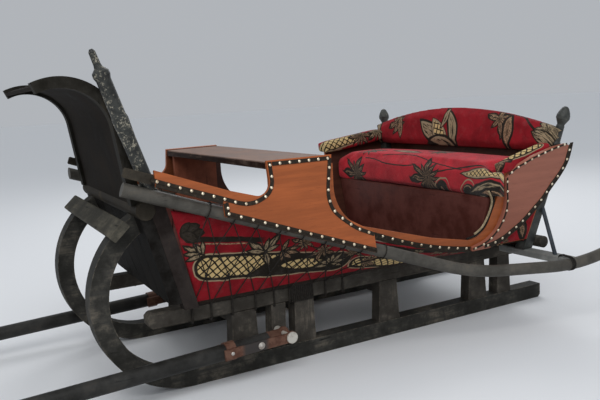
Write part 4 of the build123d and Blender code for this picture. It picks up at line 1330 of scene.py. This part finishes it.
# Outline of the wire round the pole and the rear member, as y and z from the pole's centre
WIRE_RING = (
    (0.0265, 0.0), (0.018, -0.0195), (0.0, -0.0265), (-0.03, -0.02), (-0.045, -0.008), (-0.045, 0.03),
    (-0.02, 0.0285), (0.008, 0.0265), (0.02, 0.0175),
)


class Fittings(bpy.types.Operator):
    """Bolts on the shaft straps, wire at the rear member and piping on the door's dips"""

    bl_idname = "sleigh.fittings"
    bl_label = "Fittings"

    def execute(self, context):
        steel = bright_metal("bolt_steel", (0.5, 0.47, 0.43), 0.4, (0.3, 0.2, 0.14), 0.7)
        # The shafts' slope at rest and their pin's place, and for each bolt its place along the shaft and
        # how far it stands out from the shaft's middle
        slope = -0.03581
        along = Vector((cos(slope), 0, sin(slope)))
        pivot = at(0.178, 0.4, 0.125)
        bolts = ((0.116, 0.0343), (0.222, 0.0325))
        for side, word in SIDES:
            bm = bmesh.new()
            for reach, lift in bolts:
                head = nail_head(bm, Vector((0, 0, 0)), 0.007, 0.005)
                washer = bmesh.ops.create_cone(
                    bm, cap_ends=True, segments=20, radius1=0.0125, radius2=0.0118, depth=0.0016
                )["verts"]
                bmesh.ops.translate(bm, vec=(0, 0, 0.0006), verts=washer)
                turn = Matrix.Rotation(-side * pi / 2, 4, "X")
                place = pivot + along * reach
                place.y = side * (pivot.y + lift)
                bmesh.ops.transform(bm, matrix=Matrix.Translation(place) @ turn, verts=head + washer)
            piece(f"shaft_bolts_{word}", bm, [steel], body=f"{word}_shaft")
        wire = rope_fibre("tie_wire", (0.03, 0.027, 0.024))
        black = rope_fibre("piping_black", (0.02, 0.018, 0.016))
        cream = rope_fibre("piping_cream", (0.4, 0.31, 0.19))
        for side, word in SIDES:
            bm = bmesh.new()
            for turn in range(3):
                x = -0.902 - 0.006 * turn
                centre = pole_centre(x)
                ring = [(x + DATUM, centre.y + y, centre.z + z) for y, z in WIRE_RING]
                tubes(bm, [mirrored(ring, side)], 0.0042, 3, True)
            piece(f"member_wire_{word}", bm, [wire])
            bm = bmesh.new()
            for index, path in enumerate(DIP_PIPING[word]):
                points = [(x + DATUM, side * (seat_side_face(x, z) - 0.005), z) for x, z in path]
                tubes(bm, [points], 0.0085, 3, material_index=index)
            piece(f"dip_piping_{word}", bm, [black, cream])
        return {"FINISHED"}


# Floor, lamps and camera


class Stage(bpy.types.Operator):
    """Pale floor, soft studio lamps and the camera"""

    bl_idname = "sleigh.stage"
    bl_label = "Stage"

    def execute(self, context):
        scene = context.scene
        scene.view_settings.view_transform = "Standard"
        bm = bmesh.new()
        bmesh.ops.create_grid(bm, x_segments=1, y_segments=1, size=40.0)
        floor = bpy.data.objects.new("floor", mesh_from(bm, "floor"))
        floor.location.z = -0.0005
        scene.collection.objects.link(floor)
        pale = Finish("pale_floor").finish((0.8, 0.81, 0.825), 0.9, Specular_IOR_Level=0.1)
        floor.data.materials.append(pale)
        world = bpy.data.worlds.new("soft_sky")
        scene.world = world
        world.use_nodes = True
        sky = world.node_tree.nodes["Background"]
        sky.inputs["Color"].default_value = (0.86, 0.9, 0.95, 1.0)
        sky.inputs["Strength"].default_value = 0.62
        tree = world.node_tree
        seen = tree.nodes.new("ShaderNodeBackground")
        seen.inputs["Color"].default_value = (0.437, 0.457, 0.485, 1.0)
        choice = tree.nodes.new("ShaderNodeMixShader")
        tree.links.new(tree.nodes.new("ShaderNodeLightPath").outputs["Is Camera Ray"], choice.inputs[0])
        tree.links.new(sky.outputs[0], choice.inputs[1])
        tree.links.new(seen.outputs[0], choice.inputs[2])
        tree.links.new(choice.outputs[0], tree.nodes["World Output"].inputs["Surface"])
        for name, place, aim, extent, power in (
            ("key_lamp", (1.2, 3.2, 4.2), (-0.9, 0.0, 0.3), 3.5, 120.0),
            ("rear_lamp", (-3.5, -3.0, 3.8), (-0.9, 0.0, 0.4), 3.0, 70.0),
        ):
            lamp = bpy.data.lights.new(name, "AREA")
            lamp.energy = power
            lamp.size = extent
            holder = bpy.data.objects.new(name, lamp)
            holder.location = place
            holder.rotation_euler = (Vector(aim) - Vector(place)).to_track_quat("-Z", "Y").to_euler()
            scene.collection.objects.link(holder)
        yaw, pitch, roll = radians(-119.44), radians(8.31), radians(-3.15)
        forward = Vector((cos(yaw) * cos(pitch), sin(yaw) * cos(pitch), -sin(pitch)))
        right = forward.cross(Vector((0, 0, 1))).normalized()
        up = right.cross(forward)
        across = right * cos(roll) + up * sin(roll)
        upward = up * cos(roll) - right * sin(roll)
        lens = bpy.data.cameras.new("camera")
        lens.sensor_width = 36.0
        focal_pixels, picture_width = 729.0, 600.0
        lens.lens = focal_pixels * lens.sensor_width / picture_width
        camera = bpy.data.objects.new("camera", lens)
        turned = Matrix((across, upward, -forward)).transposed().to_4x4()
        camera.matrix_world = Matrix.Translation(at(1.3147, 2.5573, 0.9507)) @ turned
        scene.collection.objects.link(camera)
        scene.camera = camera
        return {"FINISHED"}


class SleighPanel(bpy.types.Panel):
    bl_idname = "VIEW3D_PT_sleigh"
    bl_label = "Sleigh"
    bl_space_type = "VIEW_3D"
    bl_region_type = "UI"
    bl_category = "Sleigh"

    def draw(self, context):
        for group in (context.scene.sleigh_sizes, context.scene.sleigh_colours):
            box = self.layout.box()
            for name in group.__annotations__:
                box.prop(group, name)
        for step in STEPS:
            self.layout.operator(step.bl_idname)


STEPS = (Stage, FramePaint, TrimStrips, DomeNails, SideCarpets, RearPatches, RopeNets)
STEPS += (SeatCushion, Backrest, Armrests, Fittings)
CLASSES = (SleighSizes, SleighColours, *STEPS, SleighPanel)


def register():
    for item in CLASSES:
        bpy.utils.register_class(item)
    bpy.types.Scene.sleigh_sizes = PointerProperty(type=SleighSizes)
    bpy.types.Scene.sleigh_colours = PointerProperty(type=SleighColours)


def unregister():
    del bpy.types.Scene.sleigh_colours
    del bpy.types.Scene.sleigh_sizes
    for item in reversed(CLASSES):
        bpy.utils.unregister_class(item)


def main():
    register()
    bpy.ops.sleigh.stage()
    bpy.ops.sleigh.frame_paint()
    bpy.ops.sleigh.trim_strips()
    bpy.ops.sleigh.dome_nails()
    bpy.ops.sleigh.side_carpets()
    bpy.ops.sleigh.rear_patches()
    bpy.ops.sleigh.rope_nets()
    bpy.ops.sleigh.seat_cushion()
    bpy.ops.sleigh.backrest()
    bpy.ops.sleigh.armrests()
    bpy.ops.sleigh.fittings()


if __name__ == "__main__":
    main()
